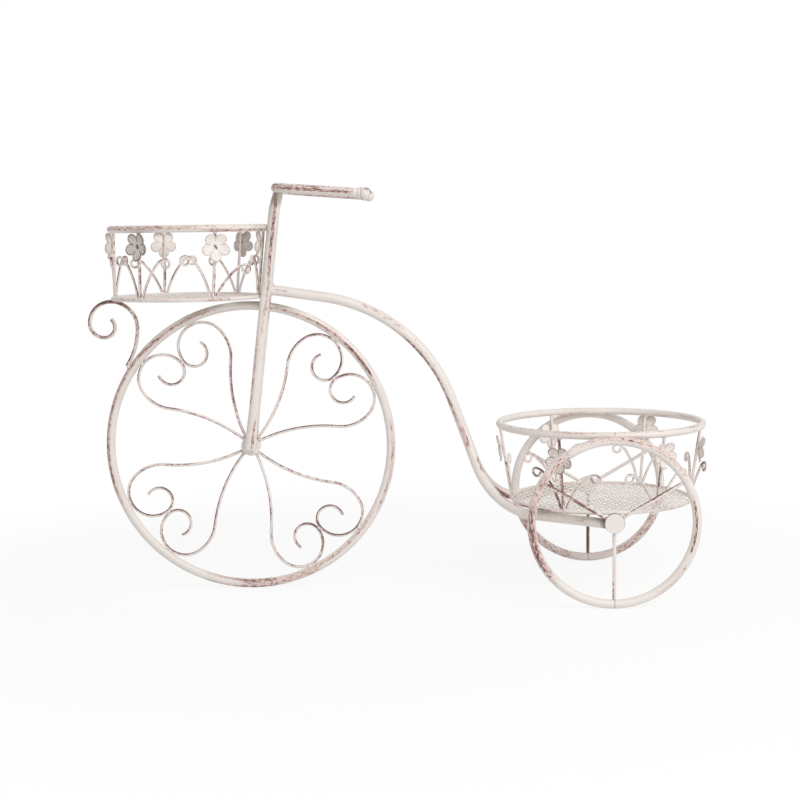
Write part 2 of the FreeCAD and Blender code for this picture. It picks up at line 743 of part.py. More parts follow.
def basket_bracket():
    side = size("bracket_side_radius")
    inset = size("bracket_top_inset")
    ring_room = side + size("bracket_wire") / 2 + gap + size("basket_base_wire") / 2
    top_x = front_base_middle.x - size("front_basket_base_radius") - inset
    top_z = front_base_z - math.sqrt(ring_room**2 - inset**2) + side
    curl_bends = [
        (size("bracket_curl_radius"), QUARTER_TURN),
        (size("bracket_inner_radius"), QUARTER_TURN),
        (size("bracket_tip_radius"), size("bracket_tip_angle")),
    ]
    curl = Trail(top_x, top_z, 180)
    for radius, turn in curl_bends:
        curl.bend(radius, turn)
    trail = Trail(curl.x, curl.z, curl.heading + 180)
    for radius, turn in reversed(curl_bends):
        trail.bend(radius, -turn)
    trail.bend(side, -QUARTER_TURN)

    # the foot falls from the side bend and lies tangent to the outside of the wheel
    ahead = trail.x - front_axle.x
    above = trail.z - front_axle.z
    on_wheel = front_axle.z + size("bracket_wire") / 2 + gap
    foot_radius = (ahead**2 + above**2 - on_wheel**2) / (2 * (on_wheel + ahead))
    foot_turn = math.degrees(math.atan2(above, foot_radius - ahead))
    trail.bend(foot_radius, -foot_turn)
    keep(swept("basket_bracket", trail.edges(), "bracket_wire"), "basket_bracket")


front_wheel()
fork()
handlebar()
backbone()
for side, hand in SIDES:
    rear_wheel(side, hand)
basket("front_basket", front_base_middle, front_rim_middle, FRONT_STEMS)
basket("rear_basket", rear_base_middle, rear_rim_middle, REAR_STEMS)
basket_bracket()
doc.recompute()

for obj in doc.Objects:
    if "Invalid" in obj.State or "Error" in obj.State:
        raise RuntimeError("%s did not build: %s" % (obj.Label, obj.State))
for obj in sub_parts:
    if obj.Shape.isNull() or not obj.Shape.isValid():
        raise RuntimeError("%s has no valid shape" % obj.Label)

os.makedirs("parts", exist_ok=True)
for obj in sub_parts:
    obj.Shape.exportStep(os.path.join("parts", obj.Label + ".step"))
print("wrote %d sub-parts" % len(sub_parts))
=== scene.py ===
import math
from functools import partial

import bmesh
import bpy
import numpy as np
from mathutils import Matrix, Vector, noise
from mathutils.bvhtree import BVHTree


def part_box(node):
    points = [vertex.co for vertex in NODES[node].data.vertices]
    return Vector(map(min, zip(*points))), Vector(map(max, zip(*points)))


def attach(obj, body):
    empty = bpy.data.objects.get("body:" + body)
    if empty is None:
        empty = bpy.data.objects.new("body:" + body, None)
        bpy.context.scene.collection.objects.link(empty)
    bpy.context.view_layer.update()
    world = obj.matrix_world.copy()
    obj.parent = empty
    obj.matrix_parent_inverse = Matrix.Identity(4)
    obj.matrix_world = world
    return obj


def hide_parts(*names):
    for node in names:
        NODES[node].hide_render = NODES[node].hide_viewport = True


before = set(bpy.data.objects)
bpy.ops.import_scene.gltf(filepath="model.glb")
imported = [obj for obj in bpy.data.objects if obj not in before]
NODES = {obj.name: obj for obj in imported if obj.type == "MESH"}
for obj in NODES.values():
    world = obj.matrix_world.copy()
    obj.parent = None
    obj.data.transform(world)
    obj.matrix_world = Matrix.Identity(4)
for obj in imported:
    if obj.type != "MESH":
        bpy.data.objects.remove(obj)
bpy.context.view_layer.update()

bl_info = {
    "name": "Bicycle plant stand",
    "version": (1, 0, 0),
    "blender": (4, 5, 0),
    "location": "View3D > Sidebar > Plant Stand",
    "description": "Dresses a tricycle-shaped plant stand in worn cream paint",
    "category": "Object",
}

BODY = "root"
SIDES = (("near", -1), ("far", 1))
BASKETS = ("front_basket", "rear_basket")
TUBE_PITCH = 0.006
WELD_GAP = 0.0002

# the flowers that aren't plain cream
RUBBED_FLOWER = "front_basket_flower_5"
DULL_FLOWER = "front_basket_flower_2"
OUTLINED_FLOWER = "rear_basket_flower_5"


# Sizes and colours that a user would change


class PaintSettings(bpy.types.PropertyGroup):
    """Cream paint, dry-brushed with red-brown."""

    cream: bpy.props.FloatVectorProperty(
        name="Cream", description="Top coat of the whole stand",
        subtype="COLOR", size=3, min=0, max=1, default=(0.82, 0.765, 0.72))
    shade: bpy.props.FloatVectorProperty(
        name="Shade", description="Thin grey-beige places of the top coat",
        subtype="COLOR", size=3, min=0, max=1, default=(0.60, 0.54, 0.495))
    blush: bpy.props.FloatVectorProperty(
        name="Blush", description="Pink veil round the brushed places",
        subtype="COLOR", size=3, min=0, max=1, default=(0.69, 0.455, 0.41))
    russet: bpy.props.FloatVectorProperty(
        name="Russet", description="Red-brown of the brush strokes",
        subtype="COLOR", size=3, min=0, max=1, default=(0.25, 0.090, 0.079))
    umber: bpy.props.FloatVectorProperty(
        name="Umber", description="Darkest brown, in creases and stroke ends",
        subtype="COLOR", size=3, min=0, max=1, default=(0.100, 0.043, 0.038))
    bare: bpy.props.FloatVectorProperty(
        name="Bare", description="Dull brown of the flowers that have lost their paint",
        subtype="COLOR", size=3, min=0, max=1, default=(0.27, 0.205, 0.155))
    # painted shadow: olive grey painted where shade falls, on the front wheel's top under its
    # basket, the fork's neck under the handlebar and the tails under the rear basket
    painted_shadow: bpy.props.FloatVectorProperty(
        name="Grime", description="Olive grey in shaded corners",
        subtype="COLOR", size=3, min=0, max=1, default=(0.27, 0.235, 0.175))
    coverage: bpy.props.FloatProperty(
        name="Coverage", description="How much of the tubes is brushed",
        subtype="FACTOR", min=0, max=1, default=0.5)
    stroke_length: bpy.props.FloatProperty(
        name="Stroke length", description="Length of the brush strokes along a tube",
        unit="LENGTH", min=0.001, default=0.0045)
    stroke_width: bpy.props.FloatProperty(
        name="Stroke width", description="Width of one bristle mark",
        unit="LENGTH", min=0.0003, default=0.0009)
    roughness: bpy.props.FloatProperty(
        name="Roughness", description="Roughness of the satin top coat",
        subtype="FACTOR", min=0, max=1, default=0.46)


class BackboneSettings(bpy.types.PropertyGroup):
    """Run of the two tubes from the fork to the rear wheels."""

    tube: bpy.props.FloatProperty(
        name="Tube", description="Tube of the backbone and the fork legs",
        unit="LENGTH", default=0.010)
    height: bpy.props.FloatProperty(
        name="Height", description="Where the backbone meets the fork",
        unit="LENGTH", default=0.312)
    start_slope: bpy.props.FloatProperty(
        name="Start slope", description="Fall behind the fork",
        subtype="ANGLE", default=math.radians(8.5))
    fall_slope: bpy.props.FloatProperty(
        name="Fall slope", description="Fall before the rear basket",
        subtype="ANGLE", default=math.radians(70))
    upper_bend: bpy.props.FloatProperty(
        name="Upper bend", description="Bend radius between the two falls",
        unit="LENGTH", default=0.165)
    parting_height: bpy.props.FloatProperty(
        name="Parting height", description="The tubes part this far above the tail",
        unit="LENGTH", default=0.075)
    parting_bend: bpy.props.FloatProperty(
        name="Parting bend", description="Bend radius where they part",
        unit="LENGTH", default=0.100)
    spread: bpy.props.FloatProperty(
        name="Spread", description="Each tube from the middle at the lower bend",
        unit="LENGTH", default=0.030)
    lower_bend: bpy.props.FloatProperty(
        name="Lower bend", description="Bend radius before the rear basket",
        unit="LENGTH", default=0.080)
    setback: bpy.props.FloatProperty(
        name="Setback", description="Lower bend ahead of the rear base ring",
        unit="LENGTH", default=0.021)
    fork_lean: bpy.props.FloatProperty(
        name="Fork lean", description="Lean of the fork legs",
        subtype="ANGLE", default=math.radians(6.9))
    tail_drop: bpy.props.FloatProperty(
        name="Tail drop", description="Tail tubes below the rear axle",
        unit="LENGTH", default=0.001)
    tail_setback: bpy.props.FloatProperty(
        name="Tail setback", description="Tail ends ahead of the rear axle",
        unit="LENGTH", default=0.005)


class HandlebarSettings(bpy.types.PropertyGroup):
    """Run of the handlebar tube."""

    slope: bpy.props.FloatProperty(
        name="Slope", description="Arms fall towards the rear",
        subtype="ANGLE", default=math.radians(4.5))
    front_width: bpy.props.FloatProperty(
        name="Front width", description="Width at the corners", unit="LENGTH", default=0.126)
    end_width: bpy.props.FloatProperty(
        name="End width", description="Width at the ends of the arms", unit="LENGTH", default=0.160)
    reach: bpy.props.FloatProperty(
        name="Reach", description="Cross bar to the ends of the arms", unit="LENGTH", default=0.084)
    bend: bpy.props.FloatProperty(
        name="Bend", description="Bend radius of the corners", unit="LENGTH", default=0.026)


class FloorSettings(bpy.types.PropertyGroup):
    """Expanded sheet of the basket floors."""

    pitch_x: bpy.props.FloatProperty(
        name="Short pitch", description="Meshes the short way", unit="LENGTH", default=0.0075)
    pitch_y: bpy.props.FloatProperty(
        name="Long pitch", description="Meshes the long way", unit="LENGTH", default=0.0155)
    strand: bpy.props.FloatProperty(
        name="Strand", description="Width of one strand", unit="LENGTH", default=0.0019)
    thickness: bpy.props.FloatProperty(
        name="Thickness", description="Thickness of the sheet", unit="LENGTH", default=0.0006)
    twist: bpy.props.FloatProperty(
        name="Twist", description="Rise of a strand across its mesh", unit="LENGTH", default=0.0005)
    wander: bpy.props.FloatProperty(
        name="Wander", description="How far the strands stray from a true lattice",
        unit="LENGTH", default=0.0008)


class FlowerSettings(bpy.types.PropertyGroup):
    """Stamped five-petal flowers."""

    petal_round: bpy.props.FloatProperty(
        name="Petal round", description="Radius of one petal", unit="LENGTH", default=0.0057)
    petal_reach: bpy.props.FloatProperty(
        name="Petal reach", description="Petal's middle from the flower's middle",
        unit="LENGTH", default=0.0088)
    cup: bpy.props.FloatProperty(
        name="Cup", description="Radius of the flower's hollow", unit="LENGTH", default=0.034)
    sheet: bpy.props.FloatProperty(
        name="Sheet", description="Thickness of the stamped sheet", unit="LENGTH", default=0.001)
    rim: bpy.props.FloatProperty(
        name="Rim", description="Raised edge round each petal", unit="LENGTH", default=0.0005)
    vein: bpy.props.FloatProperty(
        name="Vein", description="Depth of the veins in a petal", unit="LENGTH", default=0.00022)


class StageSettings(bpy.types.PropertyGroup):
    """Camera and soft studio light."""

    camera: bpy.props.FloatVectorProperty(
        name="Camera", description="Place of the camera",
        subtype="TRANSLATION", unit="LENGTH", size=3, default=(0.00799, -1.6325, 0.37585))
    pitch: bpy.props.FloatProperty(
        name="Pitch", description="Camera looks down by this",
        subtype="ANGLE", default=math.radians(6.30))
    yaw: bpy.props.FloatProperty(
        name="Yaw", description="Camera turns right by this",
        subtype="ANGLE", default=math.radians(-0.19))
    roll: bpy.props.FloatProperty(
        name="Roll", description="Camera rolls by this",
        subtype="ANGLE", default=math.radians(-0.76))
    lens: bpy.props.FloatProperty(
        name="Lens", description="Focal length on a 36 mm frame, in millimetres",
        min=1, default=71.37)
    key: bpy.props.FloatProperty(
        name="Key light", description="Large soft light, upper right",
        unit="POWER", min=0, default=29.0)
    fill: bpy.props.FloatProperty(
        name="Room light", description="Even light from all round", min=0, default=0.52)


class PlantStandSettings(bpy.types.PropertyGroup):
    """All settings of the stand."""

    paint: bpy.props.PointerProperty(type=PaintSettings)
    backbone: bpy.props.PointerProperty(type=BackboneSettings)
    handlebar: bpy.props.PointerProperty(type=HandlebarSettings)
    floor: bpy.props.PointerProperty(type=FloorSettings)
    flower: bpy.props.PointerProperty(type=FlowerSettings)
    stage: bpy.props.PointerProperty(type=StageSettings)


# Materials

# grains of each noise in a metre
GRAIN_SCALE = 950.0
PATCH_SCALE = 19.0
CLOUD_SCALE = 38.0
WIRE_DRIFT_SCALE = 13.0
WIRE_PATCH_SCALE = 27.0
WIRE_DAB_SCALE = 260.0
PETAL_GRAIN_SCALE = 1300.0
PETAL_CLOUD_SCALE = 210.0
FLOOR_GRAIN_SCALE = 900.0
FLOOR_CLOUD_SCALE = 70.0

# loads of brush paint between which a colour comes in, on tubes and on wire
VEIL_LOAD = (0.56, 0.76)
RUSSET_LOAD = (0.71, 0.78)
UMBER_LOAD = (0.80, 0.88)
WIRE_BLUSH_LOAD = (-0.2, 0.6)
WIRE_RUSSET_LOAD = (0.30, 0.55)
WIRE_UMBER_LOAD = (0.50, 0.85)

# noise between which the brushed patches and the thin places of the cream begin
PATCH_EDGE = (0.52, 0.70)
THIN_EDGE = (0.46, 0.78)

# half of a ring's closing weld, where it begins and where it is full
SEAM_HALVES = (0.0009, 0.0003)

# strength and depth of the bumps
TUBE_BUMP = (0.22, 0.0004)
PETAL_BUMP = (0.18, 0.0003)
FLOOR_BUMP = (0.2, 0.0003)


class Field:
    """A number that changes over a surface; arithmetic on it adds Math nodes."""

    def __init__(self, finish, socket):
        self.finish = finish
        self.socket = socket

    def math(self, operation, *values):
        return self.finish.add("ShaderNodeMath", {"operation": operation}, dict(enumerate(values)))

    def __add__(self, other):
        return self.math("ADD", self, other)

    def __radd__(self, other):
        return self.math("ADD", other, self)

    def __sub__(self, other):
        return self.math("SUBTRACT", self, other)

    def __rsub__(self, other):
        return self.math("SUBTRACT", other, self)

    def __mul__(self, other):
        return self.math("MULTIPLY", self, other)

    def __rmul__(self, other):
        return self.math("MULTIPLY", other, self)

    def __truediv__(self, other):
        return self.math("DIVIDE", self, other)

    def __rtruediv__(self, other):
        return self.math("DIVIDE", other, self)

    def __abs__(self):
        return self.math("ABSOLUTE", self)

    def root(self):
        return self.math("SQRT", self)

    def angle_from(self, other):
        return self.math("ARCTAN2", self, other)

    def cosine(self):
        return self.math("COSINE", self)

    def most(self, other):
        return self.math("MAXIMUM", self, other)

    def least(self, other):
        return self.math("MINIMUM", self, other)

    def step(self, low, high):
        """Smooth step: 0 at low, 1 at high."""
        settings = {"interpolation_type": "SMOOTHSTEP", "clamp": True}
        return self.finish.add("ShaderNodeMapRange", settings,
                               {"Value": self, "From Min": low, "From Max": high})

    def swing(self, amount):
        """A noise about its middle, from minus to plus half the amount."""
        return (self - 0.5) * amount


class Finish:
    """A material, or the room, whose nodes are added one after another."""

    def __init__(self, owner):
        owner.use_nodes = True
        self.owner = owner
        self.tree = owner.node_tree
        self.tree.nodes.clear()
        self.place = None

    @classmethod
    def named(cls, name):
        return cls(bpy.data.materials.new(name))

    def node(self, kind, settings=None, values=None):
        """A node of a kind: its settings first, then the values or links of its sockets."""
        node = self.tree.nodes.new(kind)
        for key, value in (settings or {}).items():
            setattr(node, key, value)
        for key, value in (values or {}).items():
            source = value.socket if isinstance(value, Field) else value
            if isinstance(source, bpy.types.NodeSocket):
                self.tree.links.new(source, node.inputs[key])
            else:
                node.inputs[key].default_value = source
        return node

    def add(self, kind, settings=None, values=None, output=0):
        return Field(self, self.node(kind, settings, values).outputs[output])

    def vector(self, operation, *values, output=0):
        """Result of a Vector Math node."""
        settings = {"operation": operation}
        return self.node("ShaderNodeVectorMath", settings, dict(enumerate(values))).outputs[output]

    def where(self):
        """Place on the stand, in metres."""
        if self.place is None:
            self.place = self.node("ShaderNodeTexCoord").outputs["Object"]
        return self.place

    def moved(self, shift):
        """Place on the stand, moved so that each finish has marks of its own."""
        return self.stretch(self.where(), (1, 1, 1), (shift, 2 * shift, 0))

    def attribute(self, name):
        return self.node("ShaderNodeAttribute", {"attribute_name": name}).outputs["Vector"]

    def split(self, vector):
        parts = self.node("ShaderNodeSeparateXYZ", values={0: vector})
        return [Field(self, parts.outputs[index]) for index in range(3)]

    def join(self, x, y, z):
        return self.node("ShaderNodeCombineXYZ", values={0: x, 1: y, 2: z}).outputs[0]

    def dot(self, first, second):
        return Field(self, self.vector("DOT_PRODUCT", first, second, output="Value"))

    def stretch(self, vector, amounts, shift=(0, 0, 0)):
        return self.vector("MULTIPLY_ADD", vector, amounts, shift)

    def noise(self, vector, scale=1.0, detail=3.0, roughness=0.55):
        values = {"Vector": vector, "Scale": scale, "Detail": detail, "Roughness": roughness}
        return self.add("ShaderNodeTexNoise", {"noise_dimensions": "3D"}, values, "Fac")

    def drift(self, vector, scale, weights):
        """A direction that turns slowly from place to place.

        weights say how far it follows each axis.
        """
        values = {"Vector": vector, "Scale": scale, "Detail": 0.5}
        turning = self.node("ShaderNodeTexNoise", {"noise_dimensions": "3D"}, values)
        middle = tuple(-0.5 * weight for weight in weights)
        return self.vector("NORMALIZE", self.stretch(turning.outputs["Color"], weights, middle))

    def seen(self):
        """1 for what the camera sees directly, in a mirror or through glass."""
        light = self.node("ShaderNodeLightPath")
        camera, mirror, glass = (Field(self, light.outputs["Is %s Ray" % kind])
                                 for kind in ("Camera", "Glossy", "Transmission"))
        return camera.most(mirror).most(glass)

    def blend(self, amount, below, above):
        """Mix of two colours; each is a colour or a socket."""
        settings = {"data_type": "RGBA", "blend_type": "MIX", "clamp_factor": True}
        values = {0: amount, 6: colour(below), 7: colour(above)}
        return self.node("ShaderNodeMix", settings, values).outputs[2]

    def coats(self, base, *layers):
        """Colours one over the other; each layer has how much it covers and its colour."""
        for cover, tint in layers:
            base = self.blend(cover, base, tint)
        return base

    def surface(self, base, roughness, height, strength, distance):
        """Ends the material: colour, roughness and a bump on one shader."""
        bump = self.node("ShaderNodeBump", values={
            "Strength": strength, "Distance": distance, "Height": height})
        shader = self.node("ShaderNodeBsdfPrincipled", values={
            "Base Color": base, "Roughness": roughness, "Normal": bump.outputs["Normal"]})
        self.node("ShaderNodeOutputMaterial", values={"Surface": shader.outputs["BSDF"]})
        return self.owner


def colour(value):
    """A colour socket as it is, or three numbers as an opaque colour."""
    if isinstance(value, bpy.types.NodeSocket):
        return value
    return (*value, 1.0)


class Lay:
    """Coordinates on a tube.

    run is a vector for the strokes, along counts up the tube and across its width, from -1 to 1.
    seam is the line where a ring is closed.
    """

    ends = (1.25, 0.7)  # a stroke fades in between these shares of its half length
    full = 0.35  # and has its full load in this share of its width

    def __init__(self, run, along, across, seam=None):
        self.run = run
        self.along = along
        self.across = across
        self.seam = seam

    def near(self, middle, half):
        """1 within half of a place along the tube, easing to 0."""
        outer, inner = (share * half for share in self.ends)
        return abs(self.along - middle).step(outer, inner)

    def brushed(self, strokes):
        """Places where the brush went: from, to, across, width and how much paint."""
        total = 0.0
        for start, end, across, width, amount in strokes:
            along = self.near((start + end) / 2, (end - start) / 2)
            beside = abs(self.across - across).step(width, self.full * width)
            total = along * beside * amount + total
        return total


class RingLay(Lay):
    """Coordinates on a ring; along is in degrees, clockwise from the top or from the far side."""

    def near(self, middle, half):
        facing = ((self.along - middle) * (math.pi / 180)).cosine()
        outer, inner = (math.cos(math.radians(share * half)) for share in self.ends)
        return facing.step(outer, inner)


def ring_lay(finish, ring, axis, seam=0.0):
    """Lay of a ring of tube; its seam is at the bottom or the near side, turned by an angle."""
    centre, radius, wire = ring
    out, over, rise = (place - middle
                       for place, middle in zip(finish.split(finish.where()), centre))
    up, side = (rise, over) if axis == "Y" else (over, rise)
    turned_out = out * math.cos(seam) + up * math.sin(seam)
    turned_up = up * math.cos(seam) - out * math.sin(seam)
    turn = turned_out.angle_from(turned_up)
    reach = (out * out + up * up).root() - radius
    outer, inner = (math.pi * radius - half for half in SEAM_HALVES)
    weld = (abs(turn) * radius).step(outer, inner)
    run = finish.join(turn * radius, reach, side)
    across = (reach if axis == "Y" else side) / wire
    return RingLay(run, out.angle_from(up) * (180 / math.pi), across, weld)


def straight_lay(finish, start, direction, side, radius):
    """Lay of a straight tube; side is the way that across counts up."""
    offset = finish.vector("SUBTRACT", finish.where(), start)
    along = finish.dot(offset, direction)
    across = finish.dot(offset, side)
    run = finish.join(along, across, finish.dot(offset, direction.cross(side)))
    return Lay(run, along, across / radius)


def bent_lay(finish, radius):
    """Lay of a tube whose mesh carries it."""
    run = finish.attribute("lay")
    along, across, _ = finish.split(run)
    return Lay(run, along, across / radius)


def satin(paint, brushed, grain):
    """Roughness of the top coat: duller where it is brushed, and broken by its grain."""
    return paint.roughness + brushed * 0.16 + grain.swing(0.12)


def worn_paint(name, paint, lay, strokes=(), coverage=0.0, shift=0.0, painted_shadow=None):
    """Cream paint with red-brown strokes dragged along a tube.

    lay gives the coordinates on the tube, strokes its brushed places, and the last argument a place
    darkened by painted shade. shift moves the marks, so that no two finishes have the same ones.
    """
    finish = Finish.named(name)
    tube_lay = lay(finish)
    along = 1 / paint.stroke_length
    across = 1 / paint.stroke_width
    drawn_out = finish.stretch(tube_lay.run, (along, across, across), (shift, shift, shift))
    bristles = finish.noise(drawn_out, detail=5.0, roughness=0.62) * 1.5 - 0.25
    patches = finish.noise(finish.moved(shift), PATCH_SCALE, detail=2.0, roughness=0.5)
    grain = finish.noise(finish.where(), GRAIN_SCALE, detail=2.5)
    cloud = finish.noise(finish.where(), CLOUD_SCALE, detail=4.0)
    zone = tube_lay.brushed(strokes) + patches.step(*PATCH_EDGE) * 0.06
    load = bristles + grain.swing(0.24) + zone + 0.12 * (coverage + paint.coverage - 0.5)
    veil = zone * (zone * 3.2 + 0.4) * (cloud * 2.0 + 0.7) + load.step(*VEIL_LOAD) * 0.2
    brushed = load.step(*RUSSET_LOAD)
    worn = finish.coats(
        paint.cream,
        (cloud.step(*THIN_EDGE) * 0.25, paint.shade),
        (veil.least(0.7), paint.blush),
        (brushed * 0.78, paint.russet),
        (load.step(*UMBER_LOAD) * 0.88, paint.umber),
    )
    height = bristles * 0.5 + grain * 0.3 - brushed * 0.3
    # painted shade: the place that the last argument gives is darkened with olive grey
    if painted_shadow is not None:
        worn = finish.blend(painted_shadow(finish, tube_lay) * (cloud * 1.6 - 0.3), worn, paint.painted_shadow)
    if tube_lay.seam is not None:
        worn = finish.blend(tube_lay.seam * 0.42, worn, paint.russet)
        height = height - tube_lay.seam * 1.2
    return finish.surface(worn, satin(paint, brushed, grain), height, *TUBE_BUMP)


def wire_paint(name, paint, coverage=0.0, shift=0.0, more=None):
    """Cream paint on thin wire, rubbed to red-brown along one side, often the upper one.

    more gives the places that are rubbed further.
    """
    finish = Finish.named(name)
    moved = finish.moved(shift)
    normal = finish.node("ShaderNodeNewGeometry").outputs["Normal"]
    turning = finish.dot(normal, finish.drift(moved, WIRE_DRIFT_SCALE, (1.0, 0.15, 1.0)))
    upward = finish.split(normal)[2]
    patches = finish.noise(moved, WIRE_PATCH_SCALE, detail=2.0)
    dabs = finish.noise(moved, WIRE_DAB_SCALE, detail=3.0)
    grain = finish.noise(finish.where(), GRAIN_SCALE, detail=2.5)
    load = turning * 0.55 + upward * 0.35
    load = load + patches.swing(0.8) + dabs.swing(1.1) + grain.swing(0.7)
    load = load + (0.6 * coverage + 0.4 * (paint.coverage - 0.5))
    if more is not None:
        load = load + more(finish)
    brushed = load.step(*WIRE_RUSSET_LOAD)
    worn = finish.coats(
        paint.cream,
        (load.step(*WIRE_BLUSH_LOAD) * 0.30, paint.blush),
        (brushed * 0.74, paint.russet),
        (load.step(*WIRE_UMBER_LOAD) * 0.85, paint.umber),
    )
    height = dabs * 0.5 + grain * 0.4 - brushed * 0.3
    return finish.surface(worn, satin(paint, brushed, grain), height, *TUBE_BUMP)


def disc_edge(centre, radius):
    """The rim of a disc whose axis runs from side to side."""
    def more(finish):
        x, _, z = finish.split(finish.where())
        out = x - centre.x
        up = z - centre.z
        return (out * out + up * up).root().step(0.88 * radius, radius) * 1.5
    return more


def petal_paint(name, paint, rubbed, edged):
    """Paint of the stamped flowers: veins, outlined petals and a dark slit in the middle.

    rubbed dulls the whole flower, and edged darkens its outlines.
    """
    finish = Finish.named(name)
    edge, crease, slit = finish.split(finish.attribute("petal"))
    vein = finish.split(finish.attribute("vein"))[0]
    grain = finish.noise(finish.where(), PETAL_GRAIN_SCALE, detail=3.0)
    cloud = finish.noise(finish.where(), PETAL_CLOUD_SCALE, detail=3.0)
    # pale paint, lifted 8 % above the cream as painted light for the flowers that the lamps light
    # less
    pale = tuple(min(1.0, 1.08 * value) for value in paint.cream)
    wash = (cloud + grain.swing(0.3)).step(0.45, 0.75) * (0.06 + 0.25 * rubbed) + 0.62 * rubbed
    outline = (edge + grain.swing(0.12)).step(0.90 - 0.07 * edged, 0.98 - 0.05 * edged)
    fold = (crease + grain * 0.25 - 0.12).step(0.72, 1.0)
    lines = (vein + grain.swing(0.6)).step(0.30, 0.75)
    dab = (edge - grain * 0.2).step(0.12, 0.02)
    base = finish.coats(
        pale,
        (wash, paint.bare),
        (outline * (0.26 + 0.5 * edged), paint.umber if rubbed else paint.russet),
        (fold * (0.16 + 0.5 * edged), paint.umber),
        (lines * (0.10 + 0.30 * edged), paint.umber),
        (dab * (0.25 + 0.5 * edged), paint.russet),
        (slit.step(0.20, 0.60) * 0.85, paint.umber),
    )
    roughness = paint.roughness + grain * 0.2 - 0.05
    return finish.surface(base, roughness, grain * 0.6 + cloud * 0.4, *PETAL_BUMP)


def floor_paint(name, paint):
    """Pale paint on expanded sheet, lifted near white as painted light, pinker on the flanks of the
    strands, with russet specks.
    """
    finish = Finish.named(name)
    low = finish.split(finish.attribute("strand"))[0]
    grain = finish.noise(finish.where(), FLOOR_GRAIN_SCALE, detail=3.0)
    cloud = finish.noise(finish.where(), FLOOR_CLOUD_SCALE, detail=3.0)
    # painted light: the sheet is lifted near white, above the cream, for strands that the lamps
    # catch at a grazing angle
    pale = tuple(0.97 * value / max(paint.cream) for value in paint.cream)
    flank = (low + grain * 0.4 + cloud * 0.5 - 0.45).step(0.45, 1.05)
    specks = (cloud * 0.6 + grain * 0.5).step(0.66, 0.76)
    base = finish.coats(pale, (flank * 0.14, paint.blush), (specks * 0.25, paint.russet))
    return finish.surface(base, paint.roughness + grain * 0.2, grain, *FLOOR_BUMP)


# Meshes


def new_piece(mesh, material, node=None):
    """A smooth piece from a mesh in the stand's frame.

    It rides on the frame, and may stand for a node.
    """
    mesh.polygons.foreach_set("use_smooth", [True] * len(mesh.polygons))
    mesh.materials.append(material)
    piece = bpy.data.objects.new(mesh.name, mesh)
    bpy.context.scene.collection.objects.link(piece)
    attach(piece, BODY)
    if node is not None:
        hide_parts(node)
    return piece


def built_mesh(name, build):
    """The mesh of a finished build."""
    mesh = bpy.data.meshes.new(name)
    build.to_mesh(mesh)
    build.free()
    return mesh


def paint_node(name, material):
    """Gives a solid of the frame its finish."""
    mesh = NODES[name].data
    mesh.materials.clear()
    mesh.materials.append(material)


def rounded_run(points, radii, steps=28):
    """Points along straight runs with a bend at each corner."""
    points = [Vector(point) for point in points]
    path = [points[0]]
    for before, corner, after, radius in zip(points, points[1:], points[2:], radii):
        backward = (before - corner).normalized()
        forward = (after - corner).normalized()
        half_turn = (math.pi - backward.angle(forward)) / 2
        reach = radius * math.tan(half_turn)
        bisector = (backward + forward).normalized()
        middle = corner + bisector * (radius / math.cos(half_turn))
        axis = backward.cross(forward).normalized()
        spoke = corner + backward * reach - middle
        for step in range(steps + 1):
            turn = Matrix.Rotation(-2 * half_turn * step / steps, 3, axis)
            path.append(middle + turn @ spoke)
    path.append(points[-1])
    return path


def spread(path, pitch):
    """The path with points no farther apart than the pitch."""
    out = [path[0]]
    for start, end in zip(path, path[1:]):
        count = max(1, math.ceil((end - start).length / pitch))
        out.extend(start.lerp(end, (index + 1) / count) for index in range(count))
    return out


def tube(name, path, radius, sides=24):
    """Mesh of a closed round tube along a path, with its lay.

    across counts from its underside to its top.
    """
    vertices = []
    lay = []
    along = 0.0
    across = Vector((0, 0, 1))
    for index, point in enumerate(path):
        ahead = path[min(index + 1, len(path) - 1)] - path[max(index - 1, 0)]
        ahead.normalize()
        across = (across - ahead * across.dot(ahead)).normalized()
        over = ahead.cross(across)
        if index:
            along += (point - path[index - 1]).length
        for side in range(sides):
            angle = 2 * math.pi * side / sides
            spoke = across * math.cos(angle) + over * math.sin(angle)
            vertices.append(point + spoke * radius)
            lay.append((along, radius * math.cos(angle), radius * math.sin(angle)))
    faces = []
    for index in range(len(path) - 1):
        for side in range(sides):
            a = index * sides + side
            b = index * sides + (side + 1) % sides
            faces.append((a, b, b + sides, a + sides))
    faces.append(tuple(reversed(range(sides))))
    faces.append(tuple(range(len(vertices) - sides, len(vertices))))
    mesh = bpy.data.meshes.new(name)
    mesh.from_pydata(vertices, [], faces)
    layer = mesh.attributes.new("lay", "FLOAT_VECTOR", "POINT")
    layer.data.foreach_set("vector", np.array(lay, np.float32).ravel())
    return mesh


def middle_of(name):
    low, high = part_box(name)
    return (low + high) / 2


def ring_of(name, axis):
    """Middle, radius and tube radius of a ring in the frame."""
    low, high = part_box(name)
    span = high - low
    wire = span.y / 2 if axis == "Y" else span.z / 2
    return (low + high) / 2, span.x / 2 - wire, wire


def swell(value, place, width, power=2):
    """1 at a place, falling to 0 on both sides of it."""
    return math.exp(-((value - place) / width) ** power)


def fork_axes(lean):
    """Directions up the fork and rearward from it."""
    return (Vector((math.sin(lean), 0, math.cos(lean))),
            Vector((math.cos(lean), 0, -math.sin(lean))))


